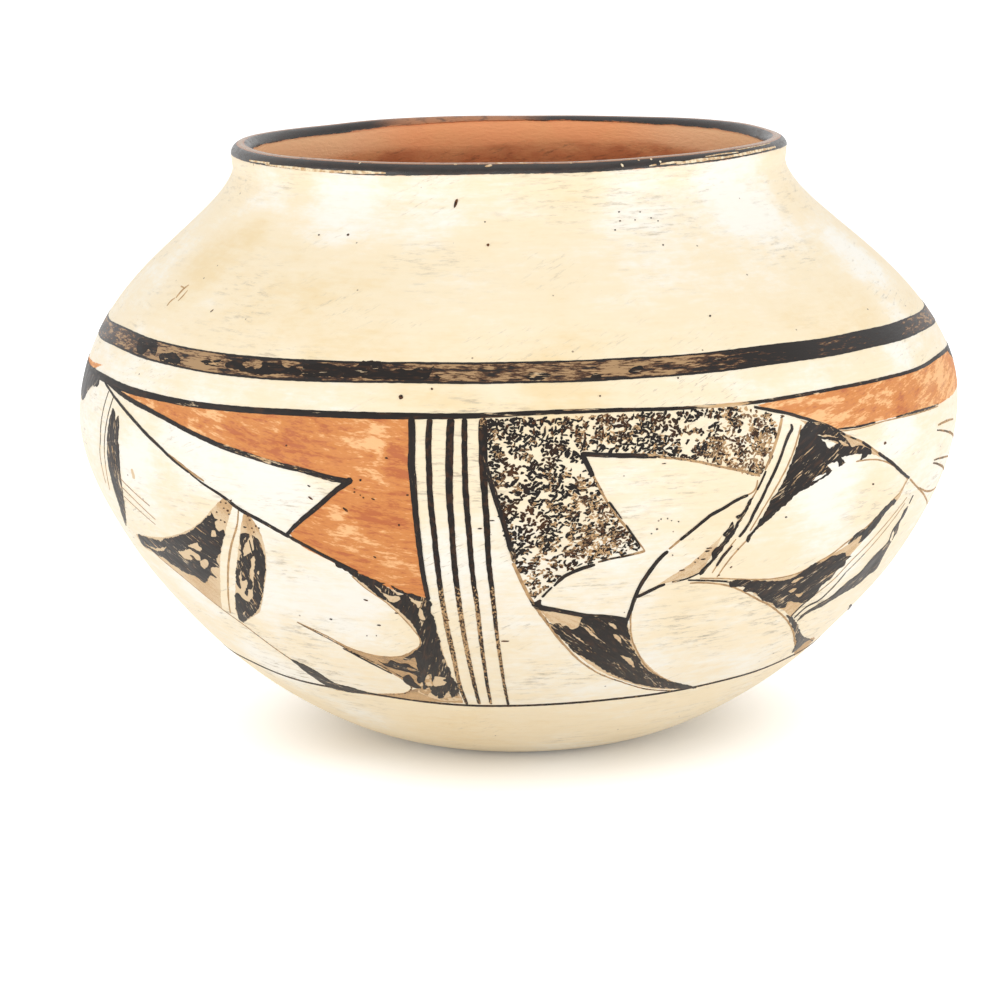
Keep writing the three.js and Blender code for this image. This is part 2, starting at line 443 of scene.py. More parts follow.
# Lines: their path, then their widths in millimetres and how worn they are, both spread evenly
# from end to end
BLACK_LINES = (
    # the edges of the left-hand feather
    """106,381 140,405 200,436.5 220,445.5 240,452.5 280,465 300,469.5 340,480 352,481.5 | .6 1.3 1.5 1.3
    1.4 1.6 1.5 1.7 1.7 | 0 .05 .05 .3 .05""",
    "352,479 342,486 316,508 293,528 286,536 | 2 1.5 1.5 1.4 1.2 1 | 0 .05",
    "411.5,417 412,445 411.5,465 413,480 417.5,530 428.5,600 | 2 2 2.1 1.7 1.7 1.5 1.4 1.5 | 0 .05",
    "105,382 110,390 130,415.5 150,437.5 160,447 168,455 190,473 | .5 .7 .9 1 1 1 .8 .6 | 0 .05",
    "190,473 199,480.5 223,496.5 238,508 263,522 290,537 | .5 .6 1 1.2 1.2 1.2 | .1 .1",
    "290,537 332,559.5 358,572 | 1.1 1.2 1.2 1 | 0 0",
    # the edge of the stippled field
    "484,455 487,468 494,492 498,506 503,521 514.5,562 | 1 1.3 1.6 1.5 1.4 1.5 1.6 1.2 | .1 .05 0 0 .05 .25",
    # the edges of the pale shape inside it
    "580.5,454 658,456 | 1.5 1.5 1.5 1.5 1.3 | 0 .1 .05 .35",
    "582,454 590,470 593.5,476 | 1.6 1.5 1.4 1 | 0 .1",
    "609,502 622,519 | .7 .6 .4 | 0 .1",
    "626,525 640,546 | .5 .8 .4 | .1 .2",
    "595,564.5 580,569 562,578 554,586 | 1 1.2 1.2 1.2 1.1 .6 | .05 .05",
    "552,587 542,597 | .6 .7 .9 | .05 .05",
    "541,600 535,604.5 | 1.1 1.3 | .05 .05",
    "533.5,605 567,612 583,615 615,617.5 628.5,620 | 1 1.5 1.6 1.5 1.4 1.4 | 0 0",
    "627,620 630.5,610 641,584 650,571 660,558 668,551 | 1.1 1.2 1.2 1.3 1.3 1.1 | 0 .05",
    "680,540 701,523 710,515.5 723,508.5 735,501 748,495 | .9 1 1 1 .9 | .05 .2",
    "699,573 688,578 672,582 | .5 .5 .6 | .1 .1",
    "665,584 655,588 645,593 636,597 | .9 1.1 1.1 1 | 0 .1",
    "688,580 712,580.5 733,582 | .6 .6 .5 | .15 .25",
    # between the white stripes
    """791,424 792,428 789,434 777,466 767,487 762,498 757,507 746,528 739,537 | .8 .9 .8 .9 .9 1 .9 .9 |
    .05 .05""",
    "732,545.5 723,556 716.5,566 | .7 1 .8 | .05 .1",
    "766,471 757,490 | .6 .6 .7 | .1 .1",
    # the lower edge of the right-hand feather
    "754,407 770,410 790,414 803,418 830,427 845,435 | .8 1.1 1 .9 .8 .7 | 0 .1 .2",
    "838,429 855,427 875,422 | .5 .6 .5 | .1 .2",
    "896,417 910,413 926,408.8 938,404 | .4 .7 .7 .4 | .1 .3",
    "850,437 856,439 | .6 .6 | .1 .1",
    "862,442 871,448 | .8 .8 | .1 .1",
    "878,453 892,463 905,475 909,478 | .9 1 1 .8 | .05 .1",
    # the black starts of the three thin lines at the foot of the wedge
    "791,616 802,605 815,594.5 | .5 .5 .4 | 0 .1",
    "794,618 806,607 819,600 832,588 845,573 | .5 .6 .5 .4 | 0 .1",
    "913,495 909,503.5 | .6 .5 | .1 .1",
    "850,605 847,613 | 1 1.4 .8 | .1 .1",
    # a black stroke beside the lens
    "249.5,540 253.5,556 | .4 .4 | .2 .2",
    # the top edge of the lower petal
    "343,648 392,673.5 | .4 .6 .6 .5 | .1 .2",
)

# Lines that start black and wear to speckled tan
WORN_LINES = (
    """430,418 428.5,440 429.5,481 436.5,556 446,622 453.5,656 461,689 467,704 | 1.5 1.5 1.5 1.5 1.5 1.4
    1.5 1.5 1.5 1.4 1.3 | 0 .05 0 0 0 .5 .6 .52 .65 .55 .45""",
    """451,418 449.5,450 452,531 459.5,606 471.5,672 479.5,704 | 2 2 1.8 1.5 1.5 1.4 1.4 1.5 1.5 1.4 1.4
    | 0 0 .1 .2 0 .5 .6 .6 .55 .45 .5""",
    """464.5,418 464.5,450 469.5,539 473.5,581 478,614 483,656 491,704 | 1.5 1.5 1.5 1.5 1.4 1.3 1.3 1.3
    1.2 1.2 1.1 | .35 .2 0 0 .05 .5 .6 .5 .5 .45 .55""",
    """483,418 483,450 487,531 489,564 498.5,647 505,689 508.5,705 | 2.2 2.2 1.6 1.5 1.4 1.3 1.2 1.1 1.1
    1.1 1 | .5 .1 .15 0 .05 .48 .5 .55 .6 .5 .45""",
)

# Thin tan and brown lines
TAN_LINES = (
    # an ochre stain on the shoulder
    "176,298 186,287 189,285 | .4 1.1 .5 | 1.2 1.1",
    "167,306 171,301 175,298 | .3 .7 .3 | 1.3 1.2",
    "178,301 183,296 188,290 | .2 .6 .2 | 1.3 1.3",
    "181,286 184,288 | .4 .4 | 1.2 1.2",
    "168,454 180,463.5 190,471.5 204,481 | .5 .8 .8 .6 | .9 .85",
    """352,576 366,588.5 383,600 399,614 413,629 420,639 419.5,647 409,654 393,657 373,655 350,648
    325,635 297,622 | .4 .4 .5 .5 | .8 .7""",
    "297,622 333,641 355,653 393,672 406,680 411.5,687 408,692 390,694 | .4 .5 .5 .5 | .5 .6",
    "138,536 156,554 182,576 221,608 243,624 272,646 292,660 | .4 .4 .5 .6 | .8 .6",
    """513,563 519.5,577 526,591 549.5,626 563.5,644 579,660 599,673.5 619,681 646.5,689 674,690.5 | .9
    .9 .7 .5 .5 .5 | .85 .7 .5""",
    "657,456.5 700,462 720,466.5 740,470.5 760,476 | .9 .8 .7 .7 .6 | .6 .65 .7 .7 .8",
    "593,476 599,486.5 606,500 620,520 | .7 .7 .6 .5 | .6 .7",
    "620,520 634,536.5 645,551 | .8 .5 .4 | .95 .95",
    "645,551 632,554.5 608,559.5 598,562 | .9 .7 .7 .6 | .8 .5 .4 .55",
    "669,549 680,540 | .7 .7 | .85 .85",
    "747,495 754,491 757.5,480 | .5 .5 | .9 .9",
    "782,418 765,470 | .8 .9 .7 | .9 .9",
    "757,490 740,517 | .5 .5 | .95 .9",
    "746,541 729,560 717,577 | .5 .5 .4 | .9 .85",
    "736,539 728,549 712,573 | .35 .4 .4 | .9 .9",
    "801,425 790,460 778,484 766,504 750,531 | .5 .5 .4 | .95 .95",
    "690,583 710,583 725,585 740,590 755,598 769,605 783,616 792,629 795,643 795,655 | .5 .6 .6 .6 | .85 .8",
    "637,597 632.5,606 630.5,622 632,639 638,653 647,667 661,677 678,684 696,688 | .4 .5 .5 .5 | .75 .7",
    "856,461.5 869.5,459.7 881.6,460.5 893.6,465.7 902,472.6 907.4,479.5 | .4 .5 .4 | .95 .9",
    """907.4,479.5 900.5,491.6 893.6,499 864,529 847,542 831.6,554 818,562 800.5,572 778,578 752,579.5
    722,578.5 700,578 | .5 .5 .5 .4 | .95 .8""",
    "907,497 865,547 850,562 835,578 815,594.5 | .4 .4 .45 | .95 .6",
    "905,503 885,530 845,573 | .4 .4 .45 | .95 .5",
    "238.6,507 237.5,523 231.5,544 228.5,564 228,585 230.5,613 | .4 .7 .6 .4 | .7 .95",
    "109,391 101,425 100.5,440 100,451 102,467 106,483 | .4 .45 .4 .25 | .3 .5 .9",
    "114,396 105,435 104.5,450 106,468 110,490 | .4 .45 .4 .25 | .3 .5 .9",
    "121,479 135,493 150,506 | .35 .35 | .6 .7",
    "121,486 138,503 155.5,519.5 | .35 .35 | .6 .7",
    "124,496 140,511 155.5,524.5 | .3 .3 | .7 .7",
    "845,435.5 858,440 880,455 | .6 .7 .6 | .95 .9",
    "910,479 917,487 924,495 927,504 | .6 .6 .5 | .9 .7",
    "838,431.5 859,428.5 883,421.5 911,415 938,406 | .35 .4 .35 | .95 .95",
    # the teeth at the far right
    "938,425 944,422 953,419 | .6 .8 .5 | .6 .8",
    "937,430 955,441 | .5 .8 .6 | .5 .7",
    "934,460 948,456 | .5 .7 .5 | .5 .7",
    "933,463 944,471 | .5 .8 .5 | .5 .7",
    "917,487 926,491 936,487 | .5 .7 .5 | .6 .8",
)

# The stippled field: its edge, and where the dabs are dense
STIPPLE_FIELD = Area(
    """487,420 680,411 742,408 783,415 | 777,436 766,468 757,476 | 727,467 707,461 678,457 658,454
    620,452 579,451 | 597,486 606,503 620,521 632,538 641,549 | 622,554.5 603,559 572,570 561,576 541,593
    533,600 | 519,573 500,511 489,468 487,450""",
    0, .62,
    """510,430,10,.75 510,445,12,.95 508,468,9,1 535,475,14,.75 545,500,14,.9 550,525,12,.85
    520,510,8,.55 525,535,10,.7 560,440,10,.75 560,420,8,.35 605,418,14,.35 590,445,8,.4 600,433,7,.5
    640,440,12,.85 670,438,10,.85 700,435,10,.85 735,430,8,.4 760,435,10,.25 740,458,10,.12 690,452,6,.4
    590,500,8,.55 725,425,18,.3 680,422,12,.5 750,450,14,.15 600,530,10,.4 585,550,8,.35 620,545,7,.2
    560,560,9,.3 540,570,8,.35 535,590,6,.2""",
)
# Where the dabs are thin and brown
BROWN_DABS = """600,510,9,.75 612,535,9,.85 590,545,8,.6 570,510,8,.45 545,560,8,.5 530,580,7,.6
    600,418,12,.45 740,420,9,.4 745,440,9,.75 745,460,9,.85 765,435,9,.75 715,455,6,.6 500,490,6,.4"""

# Grey-black marks at the far left, where the picture sees the wall edge-on; the lower one is paler, partly
# painted sheen.
EDGE_AREAS = (
    Area("113,408 108,430 107.5,442 118,442 118,416 115.5,421 115,412", 90, .15),
    Area("107.5,442 108,460 112,480 119,504 126,525 125,508 121,477 118,442", 90, .22),
    Area("88,361 91,366 97,371 100,378 99,383 92,386 88,391 84,399 80,388 76,374 75,362", 60, .14),
)

# Small marks: picture point, length and width in millimetres, and slant in degrees. A round one
# has no width and a level one no slant.
DARK_MARKS = (
    """456,203,3,.8,78 488,245,.9 401,397,1.4,1.2 432,389,.6 619,212,.5 620,221,.5 640,212,.4 635,220,.4
    651,218,.4 658,221,.4 615,230,.5 663,245,.5 319,235,.5 348,235,.8,.7 485,222,.4 710,316,.6 600,396,.5
    678,378,.5 212,311,1.2,.3,60""",
    # in the orange
    """345.5,509.5,1.9,.7,-38 373,499,1.2,.4,-25 407.5,495,.8,.5 360.5,480,.7 354.5,492,.5
    354.5,488.5,.5,.25,-30 360.5,495,.5,.25,-40 363.5,497.5,.5 286.5,445.5,.5 399,525,.6 375,557,1,.5,-40
    386.5,458,.9,.5,-15""",
    # in the petals
    """309,486,1,.4,-25 310.5,498,1.6,.5,-30 331,619,.9,.5 366,600,1.4,.5,-20 396.5,613,1,.4,-10
    379,625,1.3,.4 367,635.5,.4,.3 376.5,635.5,.4,.3""",
    # beside the four lines
    "446.5,620,1.8,.5 460.5,621,1.1,.6 505,641,2.2,.5 480,528.5,1.2,.4 492,520.5,1.4,.3",
    # in the pale shapes
    """661,519,.4 667.5,518.5,.4 671.5,520.5,.4,.3 678.5,521.5,.4 657,529,.6 651.5,533.5,.4 672.5,555,.4
    664,463.5,1.2,.3,5 738,549,.5 731,567,.8,.4,40 719,575,.5 873,484,.9,.5 786,517,.7,.4
    885,443,1.2,.7,15""",
    # at the heads of the wing and the lens
    """221,502,.6,.4,20 226,503,.7,.4 231,500.5,.9,.4,30 228,510.5,1,.6 217,512,.5 224,508,.6,.4
    229,514,.6,.4 221,520,.6,.4 225,522,.6 250,520,.7,.4 245,527,1.3,.5 252,528,.6,.4 256,526,.6
    259,528,.5 254,532,.6,.4 248,516,.6,.4""",
    # in the sliver above the egg
    "709,548,2,.4 707,551,1.6,.5,10 698,558,.5 703,559,1.6,.4 695,562,.6,.4 682,570,1.8,.4,15",
    # drops among the dabs
    "583,556,1.3,1 594,551,1.3,1 607,550,1.3,.7 553,567,1.2,.7 561,567,1.1,.8 558,576,2,1 547,576,1,.7",
)
# Slanted dabs along the top of the stippled field, and the strokes that hang below them: where
# they are, and then their length and width in millimetres and their slant in degrees
SLANTED_DABS = """507,427 518,424 525,423 534,422 543,421 553,421 567,423 577,427 586,425 598,422 607,421
    619,420 632,418 643,420 652,420 659,417 668,416 680,414 687,414 698,413 709,416 718,417 731,414"""
HANGING_DABS = "534,432 545,431 552,431 562,432 576,434 585,436 596,434 603,433"
SLANTED_DAB = (1.6, 0.85, 58)
HANGING_DAB = (2.6, 0.6, 84)
RIM_CHIPS = """489,166,2.2,.8,15 499,163.5,2.6,.6,-12 523,163.5,2.6,.5,-8 455.5,165,.9,.5 478.5,164.5,.6
    360,163.5,.8,.5,50 571,163.5,.6,.4 622,165.5,.7,1.1,20 629,159.5,.6 638.5,160.5,.6 643,157.5,1.2,.4,5
    651,159.5,.7 660,162,.6,.7,30"""
# Where the lower edge of the rim's black is rubbed to streaks
RIM_STREAKS = (
    "250,160.5 262,162.5 270,163.3 | .4 .6 | 1 1",
    "266,164.5 322,170 | .3 .7 .4 | 1 1",
    "300,169.8 336,171.6 386,173 | .3 .8 .6 .8 .4 | 1 1",
    "345,170.5 356,171.4 372,171.6 | .2 .5 .3 | 1 1",
    "649,166 656,164.8 | .4 .5 | 1 1",
    "660,164.5 672,162.8 684,162 | .4 .7 .4 | 1 1",
    "676,164 694,161 730,157 | .4 1 .8 .5 | 1 1",
    "705,157 720,154.5 738,152.5 | .2 .4 .3 | 1 1",
    "722,158 760,150.5 775,147 | .4 .9 .7 .5 | 1 1",
    "735,150.5 752,147.5 770,143.5 | .2 .35 .2 | 1 1",
)
# How white the slip is: 0 where the fire has warmed it, 0.5 plain, 1 where it is thick
# The whitest spots, under the neck, at the far left and right and low on the left, are also painted
# highlight and painted light.
SLIP_TONES_AND_LIGHT = """740,195,26,1 640,203,18,.85 860,260,20,1 900,320,12,.9 350,202,20,.85 430,215,16,.75
    270,195,14,.7 205,262,20,.05 245,240,12,.15 170,300,12,.25 500,290,26,.42 760,320,18,.4
    560,390,16,.25 420,395,14,.3 820,370,14,.7 900,352,10,.95 160,370,14,.6 190,450,18,1 260,490,22,1
    140,470,14,1 330,600,22,.85 190,585,16,.95 275,668,18,.9 365,718,16,.7 270,600,16,.95 440,430,8,.45
    450,560,16,.8 545,660,16,.62 700,500,16,.7 610,590,14,.5 710,630,20,.5 680,600,10,.35 830,500,18,1
    900,430,14,1 850,560,12,.9"""


# The wall

# How finely its section is drawn
CURVE_STEPS = 160
LIP_STEPS = 36
SECTION_STEP = 0.75 * MM


class Outline:
    """Half of the jar's section, measured along the clay: climb is the distance from the
    middle of the underside, up the outside, over the lip and down inside to the floor."""

    def __init__(self, shape):
        outside = self.outer_wall(shape)
        points = [Vector((0, 0, 0)), *outside, *self.lip(shape), *self.inner_wall(shape, outside)]
        points.append(Vector((0, 0, shape.floor)))
        self.points = self.even(points, SECTION_STEP)
        steps = [(b - a).length for a, b in zip(self.points, self.points[1:])]
        self.climbs = np.concatenate([[0], np.cumsum(steps)])
        self.radii = np.array([p.x for p in self.points])
        self.heights = np.array([p.z for p in self.points])
        self.crest = float(self.climbs[int(np.argmax(self.heights))])
        self.length = float(self.climbs[-1])

    @staticmethod
    def outer_wall(shape):
        foot, belly, neck = shape.foot_diameter / 2, shape.belly_diameter / 2, shape.neck_diameter / 2
        neck_height = shape.height - shape.neck_depth
        rise = shape.foot_reach * Vector((math.cos(shape.foot_slope), 0, math.sin(shape.foot_slope)))
        flare = shape.neck_reach * Vector((math.sin(shape.neck_flare), 0, -math.cos(shape.neck_flare)))
        start, widest = Vector((foot, 0, 0)), Vector((belly, 0, shape.belly_height))
        end = Vector((neck, 0, neck_height))
        below = widest - Vector((0, 0, shape.belly_drop))
        above = widest + Vector((0, 0, shape.belly_rise))
        lower = interpolate_bezier(start, start + rise, below, widest, CURVE_STEPS)
        upper = interpolate_bezier(widest, above, end + flare, end, CURVE_STEPS)
        return lower + upper[1:]

    @staticmethod
    def lip(shape):
        middle = (shape.rim_diameter - shape.lip) / 2
        spring = shape.height - shape.lip_rounding
        angles = [math.pi * i / LIP_STEPS for i in range(LIP_STEPS + 1)]
        return [
            Vector((middle + shape.lip / 2 * math.cos(a), 0, spring + shape.lip_rounding * math.sin(a)))
            for a in angles
        ]

    @staticmethod
    def inner_wall(shape, outside):
        """The outside, moved in by the clay's thickness and read from the neck down."""
        inner = []
        for before, point, after in zip(outside, outside[1:], outside[2:]):
            along = (after - before).normalized()
            low = max(0.0, 1 - point.z / (30 * MM))
            thickness = shape.wall + (shape.floor - shape.wall) * low
            inner.append(point + thickness * Vector((-along.z, 0, along.x)))
        return list(reversed(inner))

    @staticmethod
    def even(points, step):
        """The same path with a point about every step."""
        path = np.array([(p.x, p.z) for p in points])
        along = np.concatenate([[0], np.cumsum(np.hypot(*np.diff(path, axis=0).T))])
        marks = np.linspace(0, along[-1], int(along[-1] / step) + 1)
        return [Vector((np.interp(m, along, path[:, 0]), 0, np.interp(m, along, path[:, 1]))) for m in marks]

    def radius(self, climb):
        return np.interp(climb, self.climbs, self.radii)

    def outside_climb(self, height):
        """How far up the outside a height is."""
        outside = self.climbs <= self.crest
        return np.interp(height, self.heights[outside], self.climbs[outside])


def linked(name, data):
    """A new object of a mesh, a curve, a lamp or a camera, in the scene."""
    made = bpy.data.objects.new(name, data)
    bpy.context.collection.objects.link(made)
    return made


def make_outline_curve(outline):
    """The half section as a curve object, which the node trees sample."""
    curve = bpy.data.curves.new("outline", "CURVE")
    curve.dimensions = "3D"
    spline = curve.splines.new("POLY")
    spline.points.add(len(outline.points) - 1)
    for point, place in zip(spline.points, outline.points):
        point.co = (*place, 1)
    made = linked("outline", curve)
    made.hide_render = True
    return made


# Node helpers


class Value:
    """An output in a node tree. A sum with it adds the node that works the sum out."""

    def __init__(self, socket):
        self.socket = socket
        self.tree = socket.id_data

    def __add__(self, other):
        return maths("ADD", self, other)

    def __sub__(self, other):
        return maths("SUBTRACT", self, other)

    def __rsub__(self, other):
        return maths("SUBTRACT", other, self)

    def __mul__(self, other):
        return maths("MULTIPLY", self, other)

    def __truediv__(self, other):
        return maths("DIVIDE", self, other)

    def __rtruediv__(self, other):
        return maths("DIVIDE", other, self)


def fill(socket, value):
    """Links a value to a node's input, or sets a plain one there."""
    if isinstance(value, Value):
        value.tree.links.new(value.socket, socket)
    else:
        socket.default_value = value


def add_node(tree, kind, inputs=None, **settings):
    """A node with its settings made and its inputs filled."""
    made = tree.nodes.new(kind)
    for key, value in settings.items():
        setattr(made, key, value)
    for key, value in (inputs or {}).items():
        fill(made.inputs[key], value)
    return made


def node_value(tree, kind, inputs=None, output=0, **settings):
    """One output of a new node."""
    return Value(add_node(tree, kind, inputs, **settings).outputs[output])


def maths(operation, first, second=0.0):
    """Works out two numbers, or two vectors."""
    value = first if isinstance(first, Value) else second
    kind = "ShaderNodeVectorMath" if value.socket.type in {"VECTOR", "RGBA"} else "ShaderNodeMath"
    return node_value(value.tree, kind, {0: first, 1: second}, operation=operation)


def scaled(vector, scale):
    return node_value(vector.tree, "ShaderNodeVectorMath", {0: vector, "Scale": scale}, operation="SCALE")


def parts(vector):
    """The x, y and z of a vector."""
    return [Value(socket) for socket in add_node(vector.tree, "ShaderNodeSeparateXYZ", {0: vector}).outputs]


def combined(x, y, z):
    return node_value(x.tree, "ShaderNodeCombineXYZ", {0: x, 1: y, 2: z})


def cloud(vector, scale, detail=3.0, roughness=0.5, distortion=0.0, output=0):
    """Noise of about 0 to 1, with scale features in a metre."""
    inputs = {"Vector": vector, "Scale": scale, "Detail": detail, "Roughness": roughness}
    inputs["Distortion"] = distortion
    return node_value(vector.tree, "ShaderNodeTexNoise", inputs, output, noise_dimensions="3D")


def wandering(vector, scale, detail):
    """Noise that strays to all sides alike, by up to about 0.5."""
    return cloud(vector, scale, detail, output="Color") - (0.5, 0.5, 0.5)


def between(value, low, high):
    """0 below low, 1 above high, smooth between."""
    inputs = {"Value": value, "From Min": low, "From Max": high, "To Min": 0.0, "To Max": 1.0}
    return node_value(value.tree, "ShaderNodeMapRange", inputs, interpolation_type="SMOOTHSTEP")


def around(value, limit, blur=0.05):
    """0 below the limit and 1 above it, with a blurred edge."""
    return between(value, limit - blur, limit + blur)


def spread(value, low, high):
    """A noise's usual range taken to low and high."""
    inputs = {"Value": value, "From Min": 0.3, "From Max": 0.7, "To Min": low, "To Max": high}
    return node_value(value.tree, "ShaderNodeMapRange", inputs)


def mixed(share, first, second):
    """Two colours mixed by share. At least one of the three is a value in a tree."""
    tree = next(item.tree for item in (share, first, second) if isinstance(item, Value))
    made = add_node(tree, "ShaderNodeMix", {0: share}, data_type="RGBA")
    for socket, colour in ((made.inputs[6], first), (made.inputs[7], second)):
        fill(socket, colour if isinstance(colour, Value) else (*colour, 1))
    return Value(made.outputs[2])


def blend(share, first, second):
    """A plain colour between two others."""
    return tuple(a + (b - a) * share for a, b in zip(first, second))


# Laying things on the wall

SEAM = 2e-6  # corners nearer than this become one
MOST_DABS = 2600000.0  # to a square metre, before their spacing thins them
WALL_INPUTS = (("Geometry", "Geometry", None), ("Outline", "Object", None), ("Material", "Material", None))


def start_tree(name, sockets):
    """A tree with named inputs, each given with its type and default, and their values."""
    tree = bpy.data.node_groups.new(name, "GeometryNodeTree")
    for key, kind, default in sockets:
        socket = tree.interface.new_socket(name=key, in_out="INPUT", socket_type=f"NodeSocket{kind}")
        if default is not None:
            socket.default_value = default
    given = tree.nodes.new("NodeGroupInput").outputs
    return tree, {key: Value(given[key]) for key, _, _ in sockets}


def end_tree(name, kind, value):
    """Gives a value's tree its one output."""
    tree = value.tree
    tree.interface.new_socket(name=name, in_out="OUTPUT", socket_type=f"NodeSocket{kind}")
    fill(tree.nodes.new("NodeGroupOutput").inputs[name], value)


def make_wall_place_tree(shape):
    """A group that turns a flat point (turn, climb, lift) into its place on the jar."""
    sockets = (
        ("Outline", "Geometry", None),
        ("Flat point", "Vector", None),
        ("Throat offset", "Float", shape.throat_offset),
        ("Lean share", "Float", shape.lean_share),
        ("Rim dip", "Float", shape.rim_dip / shape.rim_diameter),
        ("Belly height", "Float", shape.belly_height),
        ("Height", "Float", shape.height),
        ("Unevenness", "Float", shape.unevenness),
        ("Waves", "Float", shape.waves),
    )
    tree, given = start_tree("Place on the wall", sockets)
    turn, climb, lift = parts(given["Flat point"])
    inputs = {"Curves": given["Outline"], "Length": climb}
    sample = add_node(tree, "GeometryNodeSampleCurve", inputs, mode="LENGTH").outputs
    along, _, rise = parts(Value(sample["Tangent"]))
    outward = combined(rise, 0.0, along * -1)
    radius, _, height = parts(Value(sample["Position"]) + scaled(outward, lift))
    turned = combined(radius * maths("SINE", turn), radius * (maths("COSINE", turn) * -1), height)
    place = turned + swell_of(turned, height, given) + lean_of(turned, height, given)
    end_tree("Place", "Vector", place)


def swell_of(turned, height, given):
    """The hand-built wall's slow wandering, none at the foot and little at the rim."""
    off_foot = between(height, 4 * MM, 40 * MM)
    off_rim = 1.0 - between(height, 150 * MM, 186 * MM) * 0.6
    amount = given["Unevenness"] * (off_foot * off_rim)
    return scaled(scaled(wandering(turned, given["Waves"], 1.0), amount), 4.0)


def lean_of(turned, height, given):
    """The throat's lean to the left and the rim's dip to the back, which grow from the belly up."""
    rise = (height - given["Belly height"]) / (given["Height"] - given["Belly height"])
    shift = between(rise, 0.0, given["Lean share"]) * (given["Throat offset"] * -1)
    to_back = parts(turned)[1]
    dip = to_back * given["Rim dip"] * between(rise, 0.6, 1.0)
    return combined(shift, 0.0, dip * -1)


def put_on_wall(geometry, given, flat):
    """A geometry with each point moved from its flat place to its place on the wall."""
    tree = geometry.tree
    outline = node_value(tree, "GeometryNodeObjectInfo", {"Object": given["Outline"]}, "Geometry")
    group = add_node(tree, "GeometryNodeGroup", node_tree=bpy.data.node_groups["Place on the wall"])
    fill(group.inputs["Outline"], outline)
    fill(group.inputs["Flat point"], flat)
    inputs = {"Geometry": geometry, "Position": Value(group.outputs["Place"])}
    return node_value(tree, "GeometryNodeSetPosition", inputs)


def finish_tree(geometry, material):
    """Every tree closes its seams, shades smooth, realizes and takes its material."""
    tree = geometry.tree
    merged = node_value(tree, "GeometryNodeMergeByDistance", {"Geometry": geometry, "Distance": SEAM})
    smooth = node_value(tree, "GeometryNodeSetShadeSmooth", {0: merged, "Shade Smooth": True})
    real = node_value(tree, "GeometryNodeRealizeInstances", {0: smooth})
    coated = node_value(tree, "GeometryNodeSetMaterial", {"Geometry": real, "Material": material})
    end_tree("Geometry", "Geometry", coated)


def lay_tree():
    """Lays a flat mesh on the wall."""
    tree, given = start_tree("Lay on the wall", WALL_INPUTS)
    flat = node_value(tree, "GeometryNodeInputPosition")
    finish_tree(put_on_wall(given["Geometry"], given, flat), given["Material"])
    return tree


def stipple_tree(brush):
    """Scatters dabs over a flat field, as dense as the field's own attribute says."""
    sockets = (
        *WALL_INPUTS,
        ("Dab", "Object", None),
        ("Radius", "Float", 0.13),
        ("Spacing", "Float", brush.dab_spacing),
        ("Size", "Float", 1.0),
        ("Clumps", "Float", 480.0),
        ("Seed", "Int", brush.seed),
    )
    tree, given = start_tree("Stipple", sockets)
    turn = random_vector(given["Seed"], (0.0, 0.0, -0.6), (0.0, 0.0, 1.3))
    size = random_vector(given["Seed"] + 3, (0.6, 0.75, 1.0), (1.35, 1.3, 1.0))
    inputs = {
        "Points": scattered_points(tree, given),
        "Instance": node_value(tree, "GeometryNodeObjectInfo", {"Object": given["Dab"]}, "Geometry"),
        "Rotation": turn,
        "Scale": size * combined(given["Size"], given["Size"], 1.0),
    }
    dabs = node_value(tree, "GeometryNodeInstanceOnPoints", inputs)
    real = node_value(tree, "GeometryNodeRealizeInstances", {0: dabs})
    finish_tree(put_on_wall(real, given, blotted(tree, given)), given["Material"])
    return tree


def random_vector(seed, least, most):
    inputs = {0: least, 1: most, "Seed": seed}
    return node_value(seed.tree, "FunctionNodeRandomValue", inputs, data_type="FLOAT_VECTOR")


def scattered_points(tree, given):
    """Points on the field at true scale, kept where it is dense and clumped by noise."""
    flat = node_value(tree, "GeometryNodeInputPosition")
    inputs = {"Geometry": given["Geometry"], "Position": flat * combined(given["Radius"], 1.0, 1.0)}
    true_scale = node_value(tree, "GeometryNodeSetPosition", inputs)
    dense = node_value(tree, "GeometryNodeInputNamedAttribute", {"Name": "worn"}, data_type="FLOAT")
    level = 0.545 - dense * 0.2
    inputs = {
        "Mesh": true_scale,
        "Distance Min": given["Spacing"],
        "Density Max": MOST_DABS,
        "Density Factor": between(cloud(flat, given["Clumps"], 2.0), level, level + 0.06),
        "Seed": given["Seed"],
    }
    kind = "GeometryNodeDistributePointsOnFaces"
    return node_value(tree, kind, inputs, "Points", distribute_method="POISSON")


def blotted(tree, given):
    """Each dab's edge wanders as a loaded brush leaves it, then goes back to flat scale."""
    place = node_value(tree, "GeometryNodeInputPosition")
    strayed = place + wandering(place * (1, 1, 0), 900.0, 2.0) * (1.8 * MM, 1.8 * MM, 0)
    return strayed * combined(1.0 / given["Radius"], 1.0, 1.0)


def set_input(modifier, name, value):
    """Sets a modifier's input by its socket's identifier."""
    for item in modifier.node_group.interface.items_tree:
        if item.item_type == "SOCKET" and item.in_out == "INPUT" and item.name == name:
            modifier[item.identifier] = value
            return
    raise KeyError(f"the tree {modifier.node_group.name} has no input {name}")


def baked(piece, tree, inputs):
    """The piece with the tree's result as its plain mesh."""
    modifier = piece.modifiers.new("laid", "NODES")
    modifier.node_group = tree
    for name, value in inputs.items():
        set_input(modifier, name, value)
    evaluated = piece.evaluated_get(bpy.context.evaluated_depsgraph_get())
    mesh = bpy.data.meshes.new_from_object(evaluated)
    piece.modifiers.remove(modifier)
    flat = piece.data
    piece.data = mesh
    mesh.name = piece.name
    bpy.data.meshes.remove(flat)
    mesh.set_sharp_from_angle(angle=math.radians(50))
    return piece


# Flat pieces


